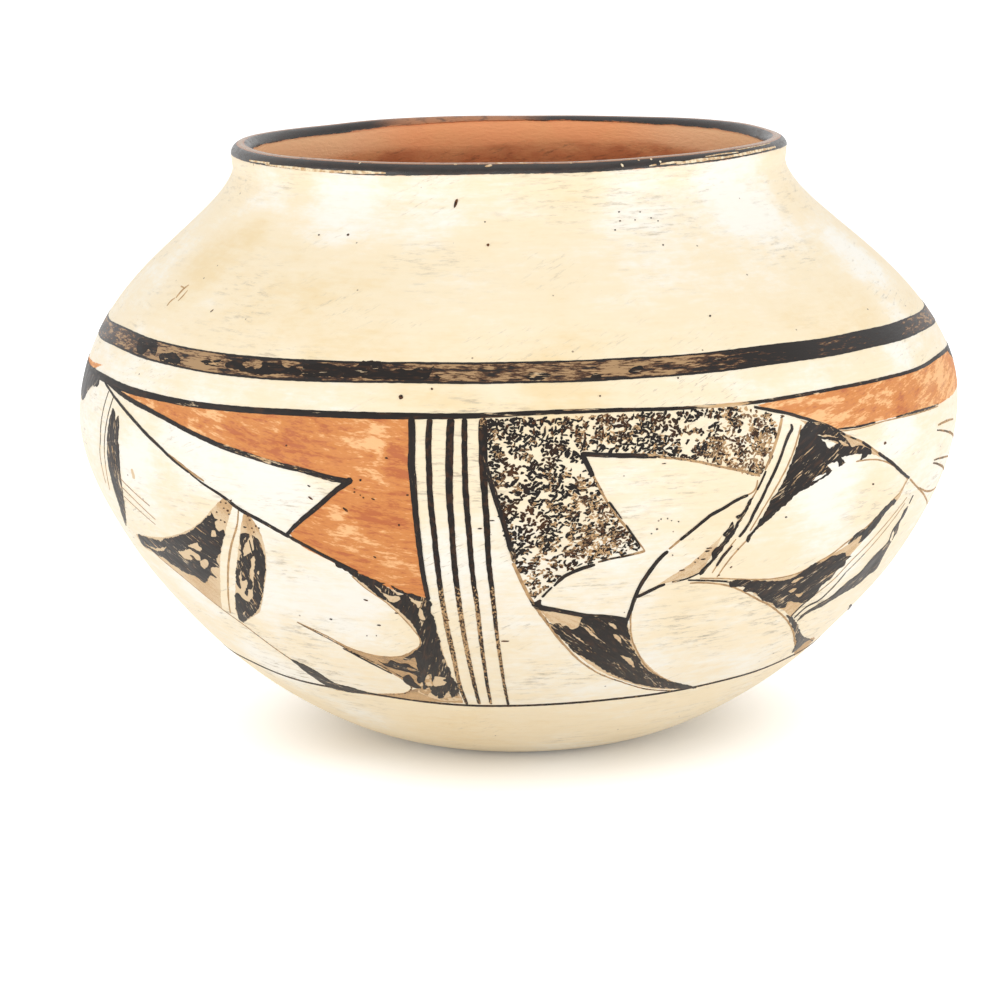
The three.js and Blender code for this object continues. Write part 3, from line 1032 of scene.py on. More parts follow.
class Flat:
    """A closed slab in flat coordinates: turn in radians, climb and lift in metres."""

    def __init__(self, points, faces, edge, worn, brush):
        self.points = np.asarray(points, float).reshape(-1, 3)
        self.faces = [tuple(int(i) for i in face) for face in faces]
        self.edge = np.asarray(edge, float)
        self.worn = np.asarray(worn, float)
        self.brush = np.asarray(brush, float).reshape(-1, 3)

    def behind(self):
        """The same slab on the other side of the jar."""
        points = self.points + (HALF_TURN, 0, 0)
        return Flat(points, self.faces, self.edge, self.worn, self.brush + (31.0, 17.0, 5.0))

    def __add__(self, other):
        shift = len(self.points)
        faces = self.faces + [tuple(i + shift for i in face) for face in other.faces]
        return Flat(
            np.vstack([self.points, other.points]),
            faces,
            np.concatenate([self.edge, other.edge]),
            np.concatenate([self.worn, other.worn]),
            np.vstack([self.brush, other.brush]),
        )


def grid_faces(columns, rows):
    """The faces of a grid whose corners are counted up each column in turn."""
    up = rows + 1
    starts = [i * up + j for i in range(columns) for j in range(rows)]
    return [(start, start + up, start + up + 1, start + 1) for start in starts]


def slab(places, faces, edge, worn, brush, lift, depth):
    """Gives a flat sheet its thickness: the sheet, its underside and walls at its edges."""
    count = len(places)
    top = np.column_stack([places, np.full(count, lift)])
    bottom = np.column_stack([places, np.full(count, lift - depth)])
    uses = {}
    for face in faces:
        for a, b in zip(face, (*face[1:], face[0])):
            uses[(a, b)] = uses.get((a, b), 0) + 1
    rims = [pair for pair in uses if (pair[1], pair[0]) not in uses]
    turns = np.asarray(places)[:, 0]
    walls = [
        (b, a, a + count, b + count)
        for a, b in rims
        if not (abs(turns[a] - turns[b]) < 1e-9 and abs(abs(turns[a]) - HALF_TURN) < 1e-6)
    ]
    under = [tuple(i + count for i in reversed(face)) for face in faces]
    double = [np.concatenate([values, values]) for values in (edge, worn)]
    return Flat(np.vstack([top, bottom]), [*faces, *under, *walls], *double, np.vstack([brush, brush]))


def joined(flats):
    """Many slabs as one."""
    flats = list(flats)
    total = flats[0]
    for flat in flats[1:]:
        total = total + flat
    return total


def flat_object(name, flat):
    """A mesh object of a slab, with its attributes."""
    mesh = bpy.data.meshes.new(name)
    mesh.from_pydata(flat.points.tolist(), [], flat.faces)
    for key, values in (("edge", flat.edge), ("worn", flat.worn)):
        mesh.attributes.new(key, "FLOAT", "POINT").data.foreach_set("value", values.astype(np.float32))
    brush = mesh.attributes.new("brush", "FLOAT_VECTOR", "POINT")
    brush.data.foreach_set("vector", flat.brush.astype(np.float32).ravel())
    return linked(name, mesh)


# The bench, which holds what the operators share


class Bench:
    """The outline, the trees and the picture's sight lines, made once for a build."""

    def __init__(self, scene):
        self.shape = scene.jar_shape
        self.brush = scene.jar_brush
        self.colours = scene.jar_colours
        self.outline = Outline(self.shape)
        self.curve = make_outline_curve(self.outline)
        make_wall_place_tree(self.shape)
        self.laying = lay_tree()
        self.stippling = stipple_tree(self.brush)
        self.measure = None
        self.materials = {}

    def material(self, name, finish):
        if name not in self.materials:
            self.materials[name] = finished(name, finish, self.colours)
        return self.materials[name]

    def lay(self, name, flat, material):
        made = flat_object(name, flat)
        return baked(made, self.laying, {"Outline": self.curve, "Material": material})

    def measuring_wall(self):
        """The front of the laid wall, with the flat coordinates of each of its corners."""
        turns = np.radians(np.arange(-120, 121, 2.0))
        climbs = np.arange(30 * MM, self.outline.crest + 14 * MM, 1.5 * MM)
        grid = [(turn, climb, 0.0) for turn in turns for climb in climbs]
        faces = grid_faces(len(turns) - 1, len(climbs) - 1)
        flat = Flat(grid, faces, np.zeros(len(grid)), np.zeros(len(grid)), grid)
        made = self.lay("measuring_wall", flat, None)
        mesh = made.data
        places = [vertex.co.copy() for vertex in mesh.vertices]
        flats = [Vector(item.vector) for item in mesh.attributes["brush"].data]
        polygons = [tuple(polygon.vertices) for polygon in mesh.polygons]
        bpy.data.objects.remove(made)
        return BVHTree.FromPolygons(places, polygons), places, polygons, flats

    def on_wall(self, x, y):
        """The turn and climb that the picture shows at a point. A point off the jar's side lies
        further round it, where the picture doesn't see."""
        if self.measure is None:
            self.measure = self.measuring_wall()
        tree, places, polygons, flats = self.measure
        side = -1 if x < PICTURE_SIZE / 2 else 1
        for step in range(SEARCH_STEPS):
            past = SEARCH_STEP * step
            spot, _, index, _ = tree.ray_cast(CAMERA_PLACE, sight(x - side * past, y))
            if spot is not None:
                corners = polygons[index]
                weights = poly_3d_calc([places[i] for i in corners], spot)
                flat = sum((flats[i] * w for i, w in zip(corners, weights)), Vector())
                return flat.x + side * past * TURN_PAST_SIDE, flat.y
        raise ValueError(f"the picture shows no wall at {x}, {y}")

    def spots_on_wall(self, spots):
        return [(*self.on_wall(x, y), reach * MM, worn) for x, y, reach, worn in table(spots)]

    def spots_all_round(self, spots):
        """The spots on the front, and the same turned half round."""
        front = self.spots_on_wall(spots)
        return front + [(turn + HALF_TURN, climb, reach, amount) for turn, climb, reach, amount in front]

    def worn_at(self, turns, climbs, base, spots):
        """How worn the paint is: the base, drawn towards each spot's own wear near it."""
        worn = np.full(len(turns), float(base))
        for turn, climb, reach, amount in spots:
            round_wall = (turns - turn + math.pi) % (2 * math.pi) - math.pi
            apart = np.hypot(round_wall * self.outline.radius(climb), climbs - climb)
            near = np.clip(1.25 - apart / reach, 0, 1)
            worn += near * near * (3 - 2 * near) * (amount - worn)
        return worn


def camera_axes():
    """The camera's right, up and forward directions."""
    forward = Vector((0, math.cos(CAMERA_PITCH), -math.sin(CAMERA_PITCH)))
    up = Vector((0, math.sin(CAMERA_PITCH), math.cos(CAMERA_PITCH)))
    right = Vector((1, 0, 0))
    cos, sin = math.cos(CAMERA_ROLL), math.sin(CAMERA_ROLL)
    return cos * right + sin * up, cos * up - sin * right, forward


def sight(x, y):
    """The direction in which the camera sees a point of the picture."""
    right, up, forward = camera_axes()
    aside = (x - PICTURE_SIZE / 2) / PICTURE_FOCAL
    above = (PICTURE_SIZE / 2 - y) / PICTURE_FOCAL
    return (forward + right * aside + up * above).normalized()


def smooth_run(points, step):
    """A smooth path through points on the flat, with a sample about every step."""
    points = np.asarray(points, float)
    gaps = np.hypot(*np.diff(points, axis=0).T)
    along = np.concatenate([[0], np.cumsum(gaps)])
    if len(points) < 3:
        marks = np.linspace(0, along[-1], max(2, int(along[-1] / step) + 1))
        return np.column_stack([np.interp(marks, along, points[:, k]) for k in (0, 1)])
    slopes = np.diff(points, axis=0) / gaps[:, None]
    inner = (slopes[:-1] * gaps[1:, None] + slopes[1:] * gaps[:-1, None]) / (gaps[:-1] + gaps[1:])[:, None]
    tangents = np.vstack([1.5 * slopes[0] - 0.5 * inner[0], inner, 1.5 * slopes[-1] - 0.5 * inner[-1]])
    marks = np.linspace(0, along[-1], max(3, int(along[-1] / step) + 1))
    which = np.clip(np.searchsorted(along, marks, side="right") - 1, 0, len(gaps) - 1)
    s = ((marks - along[which]) / gaps[which])[:, None]
    h = gaps[which][:, None]
    p, q, m, n = points[which], points[which + 1], tangents[which], tangents[which + 1]
    return (
        (2 * s**3 - 3 * s**2 + 1) * p
        + (s**3 - 2 * s**2 + s) * h * m
        + (3 * s**2 - 2 * s**3) * q
        + (s**3 - s**2) * h * n
    )


def tremble(count, step, wave, seed):
    """Smooth noise of about -1 to 1 along a path."""
    return np.array([noise.noise(Vector((i * step / wave, seed * 7.3, 0.5))) for i in range(count)]) * 2


def sideways(path):
    """The unit direction to the left of a path at each of its points."""
    ahead = np.gradient(path, axis=0)
    length = np.maximum(np.hypot(ahead[:, 0], ahead[:, 1]), 1e-9)[:, None]
    return np.column_stack([-ahead[:, 1], ahead[:, 0]]) / length


# How far the streaks' noise is drawn out along the brush: the lower, the longer they are
LINE_STREAKS = 0.3
AREA_STREAKS = 0.25
RING_STREAKS = 0.16
# How finely the painted pieces are divided, and how many columns and rows the turned ones have
STEP = 0.7 * MM
EDGE_STEP = 0.45 * MM
GRID = 2.4 * MM
SLIP_COLUMNS = 288
RING_COLUMNS = 1100
RIM_COLUMNS, RIM_ROWS = 900, 24
INSIDE_COLUMNS, INSIDE_ROWS = 192, 72
BLOT_CORNERS = 14
DAB_CORNERS = 7


def from_ends(count):
    """How many samples each sample of a path is from its nearer end."""
    return np.minimum(np.arange(count), np.arange(count)[::-1])


def painted_line(bench, line, lift, seed):
    """A brushed line, with a trembling width and rounded ends."""
    points, widths, wear = tables(line)
    widths, wear = np.ravel(widths), np.ravel(wear)
    flats = [bench.on_wall(x, y) for x, y in points]
    radius = float(np.mean([bench.outline.radius(climb) for _, climb in flats]))
    path = smooth_run([(turn * radius, climb) for turn, climb in flats], STEP)
    count = len(path)
    share = np.linspace(0, 1, count)
    half = np.interp(share, np.linspace(0, 1, len(widths)), widths) * MM / 2
    tip = from_ends(count) * STEP + 0.12 * MM
    half = half * np.sqrt(np.clip(1 - np.clip(1 - tip / np.maximum(half, 0.4 * MM), 0, 1) ** 2, 0.02, 1))
    side = sideways(path)
    ragged = min(0.6 * bench.brush.ragged, 0.1 * float(np.mean(half)) * 2)
    left = path + side * (half + ragged * tremble(count, STEP, 1.6 * MM, seed))[:, None]
    right = path - side * (half + ragged * tremble(count, STEP, 1.6 * MM, seed + 50))[:, None]
    places = np.vstack([left, path, right])
    faces = []
    for i in range(count - 1):
        faces.append((count + i, count + i + 1, i + 1, i))
        faces.append((2 * count + i, 2 * count + i + 1, count + i + 1, count + i))
    edge = np.concatenate([np.ones(count), np.zeros(count), np.ones(count)])
    worn = np.tile(np.interp(share, np.linspace(0, 1, len(wear)), wear), 3)
    along = np.tile(share * count * STEP / MM, 3)
    across = np.concatenate([half, np.zeros(count), -half]) / MM
    brush = np.column_stack([along * LINE_STREAKS, across, np.full(3 * count, float(seed))])
    places = places / (radius, 1)
    return slab(places, faces, edge, worn, brush, lift, bench.brush.depth + lift)


def inside(loop, points):
    """Which points a closed loop holds."""
    x, y = points[:, 0], points[:, 1]
    held = np.zeros(len(points), bool)
    for (x0, y0), (x1, y1) in zip(loop, np.roll(loop, -1, axis=0)):
        crosses = (y0 > y) != (y1 > y)
        if y0 != y1:
            held ^= crosses & (x < (x1 - x0) * (y - y0) / (y1 - y0) + x0)
    return held


def nearest(points, loop):
    """How far each point is from the loop's samples."""
    far = np.full(len(points), np.inf)
    for corner in loop:
        far = np.minimum(far, np.hypot(points[:, 0] - corner[0], points[:, 1] - corner[1]))
    return far


def closed_sides(sides):
    """Makes each side start where the last one ends, and the last end where the first starts."""
    for before, side in zip(sides, sides[1:]):
        side.insert(0, before[-1])
    sides[-1].append(sides[0][0])
    return sides


def area_loop(bench, runs, radius, ragged, seed):
    """The edge of an area or a gap at true scale, brushed a little ragged."""
    sides = []
    for run in runs:
        flats = [bench.on_wall(x, y) for x, y in run]
        path = smooth_run([(turn * radius, climb) for turn, climb in flats], EDGE_STEP)
        hold = np.minimum(1, from_ends(len(path)) / 3)
        seed += 1
        wander = ragged * hold * tremble(len(path), EDGE_STEP, 0.9 * MM, seed)
        sides.append((path + sideways(path) * wander[:, None])[:-1])
    return np.vstack(sides)


def area_radius(bench, runs):
    """The wall's mean radius where an area lies."""
    return float(np.mean([bench.outline.radius(bench.on_wall(x, y)[1]) for run in runs for x, y in run]))


def triangles(loop, holes):
    """Triangles over a grid between a loop and its holes: corners, faces and the edges' samples."""
    edges_of = [loop, *holes]
    rim = np.vstack(edges_of)
    low, high = loop.min(axis=0), loop.max(axis=0)
    columns = np.arange(low[0], high[0], GRID)
    rows = np.arange(low[1], high[1], GRID * 0.87)
    grid = np.array([(x + (k % 2) * GRID / 2, y) for k, y in enumerate(rows) for x in columns])
    grid = grid[inside(loop, grid)]
    if len(grid):
        grid = grid[nearest(grid, rim) > 0.45 * GRID]
    places = np.vstack([rim, grid]) if len(grid) else rim
    edges, first = [], 0
    for ring in edges_of:
        edges += [(first + i, first + (i + 1) % len(ring)) for i in range(len(ring))]
        first += len(ring)
    found = delaunay_2d_cdt([Vector(p) for p in places], edges, [], 0, 1e-7)
    places = np.array([tuple(v) for v in found[0]])
    faces = np.array([tuple(face) for face in found[2]])
    middles = places[faces].mean(axis=1)
    kept = inside(loop, middles)
    for hole in holes:
        kept &= ~inside(hole, middles)
    used, faces = np.unique(faces[kept], return_inverse=True)
    faces = [tuple(int(i) for i in face) for face in faces.reshape(-1, 3)]
    return places[used], faces, rim


def painted_area(bench, area, lift, seed):
    """A filled area, with ragged edges and the gaps that it has."""
    sides = closed_sides(tables(area.sides))
    radius = area_radius(bench, sides)
    ragged = bench.brush.ragged * (1 if len(sides) > 1 else 1.8)
    loop = area_loop(bench, sides, radius, ragged, seed)
    holes = []
    for i, gap in enumerate(tables(area.gaps) if area.gaps else []):
        holes.append(area_loop(bench, closed_sides([gap]), radius, ragged, seed + 40 + i))
    places, faces, rim = triangles(loop, holes)
    turns, climbs = places[:, 0] / radius, places[:, 1]
    edge = np.clip(1 - nearest(places, rim) / (1.2 * MM), 0, 1)
    worn = bench.worn_at(turns, climbs, area.worn, bench.spots_on_wall(area.spots))
    angle = math.radians(area.grain)
    along = (places[:, 0] * math.cos(angle) + places[:, 1] * math.sin(angle)) / MM
    across = (places[:, 1] * math.cos(angle) - places[:, 0] * math.sin(angle)) / MM
    brush = np.column_stack([along * AREA_STREAKS, across, np.full(len(places), float(seed))])
    return slab(np.column_stack([turns, climbs]), faces, edge, worn, brush, lift, bench.brush.depth + lift)


def ring_edge(bench, knots, side, ragged=0.0, seed=0):
    """The climb of a ring's edge as a function of the turn. Side is 0 for its lower edge, 1 for
    its upper edge and 0.5 for its middle."""
    scale = bench.shape.belly_diameter / 2
    heights = [(math.radians(a) * scale, (low + side * (high - low)) * MM) for a, low, high in table(knots)]
    span = math.pi * scale
    path = smooth_run([(x + lap * span, z) for lap in (-1, 0, 1) for x, z in heights[1:]], 2 * MM)

    def climb(turn):
        around = (turn * scale + span / 2) % span - span / 2
        height = float(np.interp(around, path[:, 0], path[:, 1]))
        round_wall = Vector((math.cos(turn), math.sin(turn), 0))
        fine = noise.noise(round_wall * 70 + Vector((seed * 3.7, 0, 0)))
        return float(bench.outline.outside_climb(height)) + ragged * 2 * fine

    return climb


def turned_strip(bench, low, high, columns, rows, lift, depth, worn=0.0, spots=()):
    """A strip all round the jar, between two edges given as functions of the turn."""
    turns = np.linspace(-math.pi, math.pi, columns + 1)
    lows, highs = np.array([low(t) for t in turns]), np.array([high(t) for t in turns])
    lows[-1], highs[-1] = lows[0], highs[0]
    share = np.linspace(0, 1, rows + 1)
    climbs = (lows[:, None] * (1 - share) + highs[:, None] * share).ravel()
    all_turns = np.repeat(turns, rows + 1)
    edge = np.tile((np.abs(share - 0.5) > 0.499).astype(float), columns + 1)
    wear = bench.worn_at(all_turns, climbs, worn, spots)
    radius = bench.outline.radius(climbs)
    aside, ahead = radius * np.sin(all_turns) / MM, radius * np.cos(all_turns) / MM
    brush = np.column_stack([aside * RING_STREAKS, ahead * RING_STREAKS, climbs / MM])
    places = np.column_stack([all_turns, climbs])
    return slab(places, grid_faces(columns, rows), edge, wear, brush, lift, depth)


# Materials

Coat = namedtuple("Coat", "colour roughness relief depth shine", defaults=(0.5,))


def finished(name, finish, colours):
    """A material whose shader takes its colour, roughness and relief from a finish."""
    material = bpy.data.materials.new(name)
    material.use_nodes = True
    tree = material.node_tree
    coat = finish(tree, colours)
    relief = {"Height": coat.relief, "Strength": 1.0, "Distance": coat.depth}
    inputs = tree.nodes["Principled BSDF"].inputs
    fill(inputs["Base Color"], coat.colour)
    fill(inputs["Roughness"], coat.roughness)
    fill(inputs["Specular IOR Level"], coat.shine)
    fill(inputs["Normal"], node_value(tree, "ShaderNodeBump", relief))
    return material


def object_place(tree, stretch=(1, 1, 1), slant=0.0):
    """The place on the jar, in metres, slanted and then squeezed or stretched."""
    place = node_value(tree, "ShaderNodeTexCoord", output="Object")
    if slant:
        place = node_value(tree, "ShaderNodeMapping", {"Vector": place, "Rotation": (0, slant, 0)})
    return node_value(tree, "ShaderNodeMapping", {"Vector": place, "Scale": stretch})


def jar_cloud(tree, squeeze, scale, detail, roughness, slant=0.0):
    """Noise on the jar, squeezed in its height so that it runs round it."""
    return cloud(object_place(tree, (1, 1, squeeze), slant), scale, detail, roughness)


def attribute(tree, name):
    """What the mesh carries: brush is a vector, edge and worn are numbers."""
    output = "Vector" if name == "brush" else "Fac"
    return node_value(tree, "ShaderNodeAttribute", output=output, attribute_name=name)


def varied(value, *amounts):
    """A value with noise added: pairs of a noise and how much it adds each way."""
    for noise_value, amount in amounts:
        value = value + (noise_value - 0.5) * amount
    return value


def graded(tone, colour, *steps):
    """A colour that turns into others as the tone grows: each one's start, end and colour."""
    for low, high, following in steps:
        colour = mixed(between(tone, low, high), colour, following)
    return colour


def smudged(tree, colour, colours, amount):
    """Grey soot rubbed along the burnisher's strokes, and in places across them."""
    level = jar_cloud(tree, 7, 130, 7.0, 0.75)
    slanted = jar_cloud(tree, 7, 170, 7.0, 0.75, 0.45)
    patches = jar_cloud(tree, 1.8, 21, 3.0, 0.5)
    level = between(level, 0.5, 0.68) * between(patches, 0.5, 0.66)
    slanted = between(slanted, 0.54, 0.7) * between(patches, 0.48, 0.36)
    return mixed(maths("MAXIMUM", level, slanted) * amount, colour, colours.soot_and_crest_sheen)


def specked(tree, colour, colours):
    """Iron specks, one in the middle of some of the cells."""
    cells = add_node(tree, "ShaderNodeTexVoronoi", {"Vector": object_place(tree), "Scale": 210}).outputs
    small = 1.0 - between(Value(cells["Distance"]), 0.05, 0.085)
    pick = node_value(tree, "ShaderNodeSeparateColor", {0: Value(cells["Color"])})
    chosen = maths("LESS_THAN", pick, 0.16)
    return mixed(small * chosen * 0.75, colour, colours.speck)


def slip_finish(tree, colours, soot):
    """Burnished slip: warm or white as its tone says, white also as painted highlight, clouded, streaked,
    sooted and specked.
    """
    broad = jar_cloud(tree, 1.6, 13, 3.0, 0.55)
    mottled = jar_cloud(tree, 2.6, 46, 6.0, 0.62)
    streaked = jar_cloud(tree, 8, 85, 4.0, 0.6)
    fine = jar_cloud(tree, 2, 330, 4.0, 0.6)
    tone = varied(attribute(tree, "worn"), (broad, 1.1), (mottled, 0.8), (streaked, 0.5), (fine, 0.35))
    colour = graded(tone, colours.warm_slip, (0.0, 0.5, colours.slip), (0.45, 1.0, colours.white_slip_and_sheen))
    colour = specked(tree, smudged(tree, colour, colours, soot), colours)
    relief = jar_cloud(tree, 3, 520, 3.0, 0.6) * 0.3 + streaked
    return Coat(colour, spread(mottled, 0.36, 0.52), relief, 0.16 * MM)


def clay_finish(tree, colours):
    """Bare clay inside: lit at the throat, darker, patchy and scraped in a painted rim shadow below it."""
    place = object_place(tree)
    x, y, height = parts(place)
    aside = maths("ABSOLUTE", x)
    # The edge of a painted shadow that the front rim casts on the back wall: it falls towards the back and
    # at the sides, and wanders.
    level = height + y * 0.095 + between(aside, 42 * MM, 75 * MM) * (5 * MM)
    level = level + (cloud(place, 14, 2.0) - 0.5) * (8 * MM)
    mottled = jar_cloud(tree, 2, 60, 5.0, 0.6)
    light = mixed(between(mottled, 0.4, 0.7), colours.clay, colours.pale_orange)
    light = mixed(0.7, light, colours.clay)
    # Paler towards the sides: a painted glare from the side lamps.
    side_glare = between(aside, 30 * MM, 72 * MM)
    light = mixed(side_glare * 0.45, light, colours.slip)
    light = mixed(side_glare * 0.5, light, colours.pale_orange)
    patches = cloud(place, 19, 4.0, 0.6)
    scraped = jar_cloud(tree, 4, 150, 5.0, 0.7, 0.3)
    # The clay in the painted shadow below the shadow line, patchy and scraped.
    deep = mixed(between(patches, 0.4, 0.64) * 0.5, colours.shaded_clay, colours.clay)
    deep = mixed(between(mottled, 0.42, 0.66) * 0.35, deep, colours.pale_orange)
    deep = mixed(between(scraped, 0.52, 0.7) * 0.45, deep, colours.brown)
    # Lit clay above the painted shadow line, shaded clay below it.
    colour = mixed(between(level, 185.2 * MM, 188.5 * MM), deep, light)
    return Coat(colour, between(mottled, -0.6, 0.9), jar_cloud(tree, 3, 400, 4.0, 0.6), 0.3 * MM)


def black_finish(tree, colours):
    """Mineral black, brown where thin and rubbed through to the wash where worn."""
    brush = attribute(tree, "brush")
    thin = cloud(brush, 0.5)
    under = mixed(between(thin, 0.4, 0.6), blend(0.5, colours.wash, colours.slip), colours.wash)
    solid = mixed(between(cloud(brush, 0.9), 0.5, 0.72), colours.black, colours.brown)
    solid = mixed(0.55, solid, colours.black)
    streaks = varied(cloud(brush * (0.6, 1, 1), 1.8, 4.0, 0.62), (cloud(brush, 0.3, 2.0), 0.6))
    gone = around(streaks, 0.74 - attribute(tree, "worn") * 0.6)
    return Coat(mixed(gone, solid, under), spread(thin, 0.34, 0.5), cloud(brush, 1.2, 4.0), 0.08 * MM, 0.22)


def band_finish(tree, colours):
    """The broad band: two black edge lines, and between them streaks of black over tan."""
    brush = attribute(tree, "brush")
    fine = cloud(brush, 1.5, 5.0, 0.7)
    tone = varied(attribute(tree, "worn"), (fine, 2.2), (cloud(brush, 0.5, 4.0, 0.6), 1.3))
    tone = tone - between(attribute(tree, "edge"), 0.3, 0.8) * 0.7
    tan = blend(0.35, colours.wash, colours.brown)
    colour = graded(tone, colours.black, (0.32, 0.5, colours.brown), (0.5, 0.72, tan))
    return Coat(colour, spread(fine, 0.3, 0.46), fine, 0.08 * MM, 0.3)


def wash_finish(tree, colours):
    """A thin wash: brown where worn is 0 and pale tan where it is 1, streaked by the brush."""
    brush = attribute(tree, "brush")
    pooled = cloud(brush, 0.9, 5.0, 0.65)
    fine = cloud(brush * (3, 1, 1), 2.6, 4.0, 0.7)
    tone = varied(attribute(tree, "worn"), (pooled, 1.5), (cloud(brush, 0.3), 0.9), (fine, 1.5))
    thick = blend(0.45, colours.brown, colours.wash)
    pale = blend(0.45, colours.wash, colours.slip)
    colour = graded(tone, thick, (-0.1, 0.5, colours.wash), (0.5, 1.05, pale))
    return Coat(colour, between(pooled, -0.5, 1.2), pooled, 0.06 * MM)


def tan_finish(tree, colours):
    """Thin lines that show tan where worn and brown-black where not."""
    brush = attribute(tree, "brush") * (2.6, 1, 1)
    spots = cloud(brush, 1.3, 3.0, 0.6)
    gone = around(spots, 0.92 - attribute(tree, "worn") * 0.75)
    tan = blend(0.4, colours.wash, colours.brown)
    faded = mixed(between(cloud(brush, 0.5, 2.0), 0.35, 0.7), tan, colours.wash)
    dark = mixed(between(cloud(brush, 0.8, 2.0), 0.45, 0.65), colours.black, colours.brown)
    colour = mixed(gone, mixed(0.6, dark, colours.black), faded)
    return Coat(colour, between(spots, -0.5, 1.2), spots, 0.05 * MM, 0.22)


def orange_finish(tree, colours):
    """Orange paint: deep where worn is 0, rubbed pale where it is 1, streaked by the brush."""
    brush = attribute(tree, "brush")
    swirled = cloud(brush, 0.22, 4.0, 0.6, 1.2)
    streaks = cloud(brush, 0.75, 4.0, 0.6)
    fine = cloud(brush, 2.4, 3.0, 0.6)
    tone = varied(attribute(tree, "worn"), (swirled, 1.7), (streaks, 1.7), (fine, 1.0))
    colour = graded(tone, colours.deep_orange, (0.0, 0.5, colours.orange), (0.58, 0.98, colours.pale_orange))
    dirt = between(cloud(brush * (3, 1, 1), 0.9, 4.0, 0.7), 0.64, 0.76) * 0.4
    return Coat(mixed(dirt, colour, colours.brown), between(streaks, -0.5, 1.2), fine, 0.08 * MM)


def rim_finish(tree, colours):
    """The lip's black: grey along the crest, rubbed and a painted highlight; rubbed through along its lower
    edge.
    """
    streaks = cloud(object_place(tree, (0.35, 0.35, 1.6)), 700, 4.0, 0.6)
    worn = attribute(tree, "worn")
    gone = around(streaks, 0.86 - attribute(tree, "edge") * 0.34 - worn * 0.3)
    solid = mixed(between(streaks, 0.4, 0.8), colours.black, colours.brown)
    brown = blend(0.5, colours.brown, colours.clay)
    colour = mixed(gone, mixed(0.75, solid, colours.black), brown)
    thin = between(worn, 0.1, 0.4) * between(streaks, 0.2, 0.5)
    # Grey along the crest, where the worn mark is highest: rubbed paint and a painted highlight together.
    rubbed = between(worn, 0.4, 1.2) * between(streaks, 0.25, 0.6)
    colour = mixed(rubbed * 0.7, mixed(thin * 0.8, colour, brown), colours.soot_and_crest_sheen)
    return Coat(colour, spread(streaks, 0.2, 0.38), streaks, 0.12 * MM)


def speck_finish(tree, colours):
    """Iron specks and drops of black."""
    mottled = cloud(object_place(tree), 900)
    colour = mixed(between(mottled, 0.4, 0.65), colours.black, colours.speck)
    return Coat(colour, between(mottled, -0.6, 1.2), mottled, 0.1 * MM, 0.22)


def chip_finish(tree, colours):
    """Bare clay in a chip."""
    mottled = cloud(object_place(tree), 700, 4.0)
    colour = mixed(between(mottled, 0.35, 0.65), colours.wash, colours.slip)
    return Coat(colour, between(mottled, -1.0, 0.9), mottled, 0.2 * MM)


def brown_dab_finish(tree, colours):
    """Dabs of thinned black, brown to tan."""
    patches = cloud(object_place(tree), 260, 4.0, 0.6)
    colour = mixed(between(patches, 0.38, 0.62), colours.brown, colours.wash)
    return Coat(colour, between(patches, -0.5, 1.2), patches, 0.08 * MM, 0.22)


def black_dab_finish(tree, colours):
    """The dabs' black, with brown in patches."""
    patches = cloud(object_place(tree), 120, 4.0, 0.6)
    colour = mixed(between(patches, 0.5, 0.76), colours.black, colours.brown)
    return Coat(colour, between(patches, -0.5, 1.2), patches, 0.08 * MM, 0.22)


# Operators


def seat(piece, slot, *nodes):
    """Makes a piece ride on the jar and stand for CAD nodes, which it hides. The slot is not used."""
    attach(piece, "root")
    if nodes:
        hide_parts(*nodes)


def the_bench(context):
    if "bench" not in _shared:
        _shared["bench"] = Bench(context.scene)
    return _shared["bench"]


_shared = {}


class JAR_OT_turn_outside(bpy.types.Operator):
    """Turn the underside, the frieze ground and the shoulder"""

    bl_idname = "jar.turn_outside"
    bl_label = "Turn the Outside"

    def execute(self, context):
        bench = the_bench(context)
        ground = ring_edge(bench, GROUND_LINE, 0.5)
        band = ring_edge(bench, SHOULDER_BAND, 0.5)
        lip = float(bench.outline.outside_climb(SHOULDER_TOP))
        depth = bench.shape.wall / 2
        coils = [f"wall_coil_{i + 1}" for i in range(8)]
        skins = (
            ("underside", 0.42, 0.5, lambda turn: 0.0, ground, 36, ("moulded_base",)),
            ("frieze_ground", 0.6, 0.95, ground, band, 64, coils[:5]),
            ("shoulder", 0.45, 0.6, band, lambda turn: lip, 44, coils[5:]),
        )
        # The slip's tones, whose whitest spots are also painted highlight and painted light.
        tones_and_light = bench.spots_all_round(SLIP_TONES_AND_LIGHT)
        for name, tone, soot, low, high, rows, nodes in skins:
            flat = turned_strip(bench, low, high, SLIP_COLUMNS, rows, 0.0, depth, tone, tones_and_light)
            finish = partial(slip_finish, soot=soot)
            made = bench.lay(name, flat, bench.material(f"{name} slip", finish))
            seat(made, "cream_slip", *nodes)
        return {"FINISHED"}


class JAR_OT_turn_inside(bpy.types.Operator):
    """Turn the bare clay inside"""

    bl_idname = "jar.turn_inside"
    bl_label = "Turn the Inside"

    def execute(self, context):
        bench = the_bench(context)
        outline = bench.outline
        start = outline.crest + INSIDE_START
        depth = bench.shape.wall / 2 - 0.1 * MM
        edges = (lambda turn: start, lambda turn: outline.length)
        flat = turned_strip(bench, *edges, INSIDE_COLUMNS, INSIDE_ROWS, 0.0, depth)
        seat(bench.lay("inside_wall", flat, bench.material("bare clay", clay_finish)), "cream_slip")
        return {"FINISHED"}


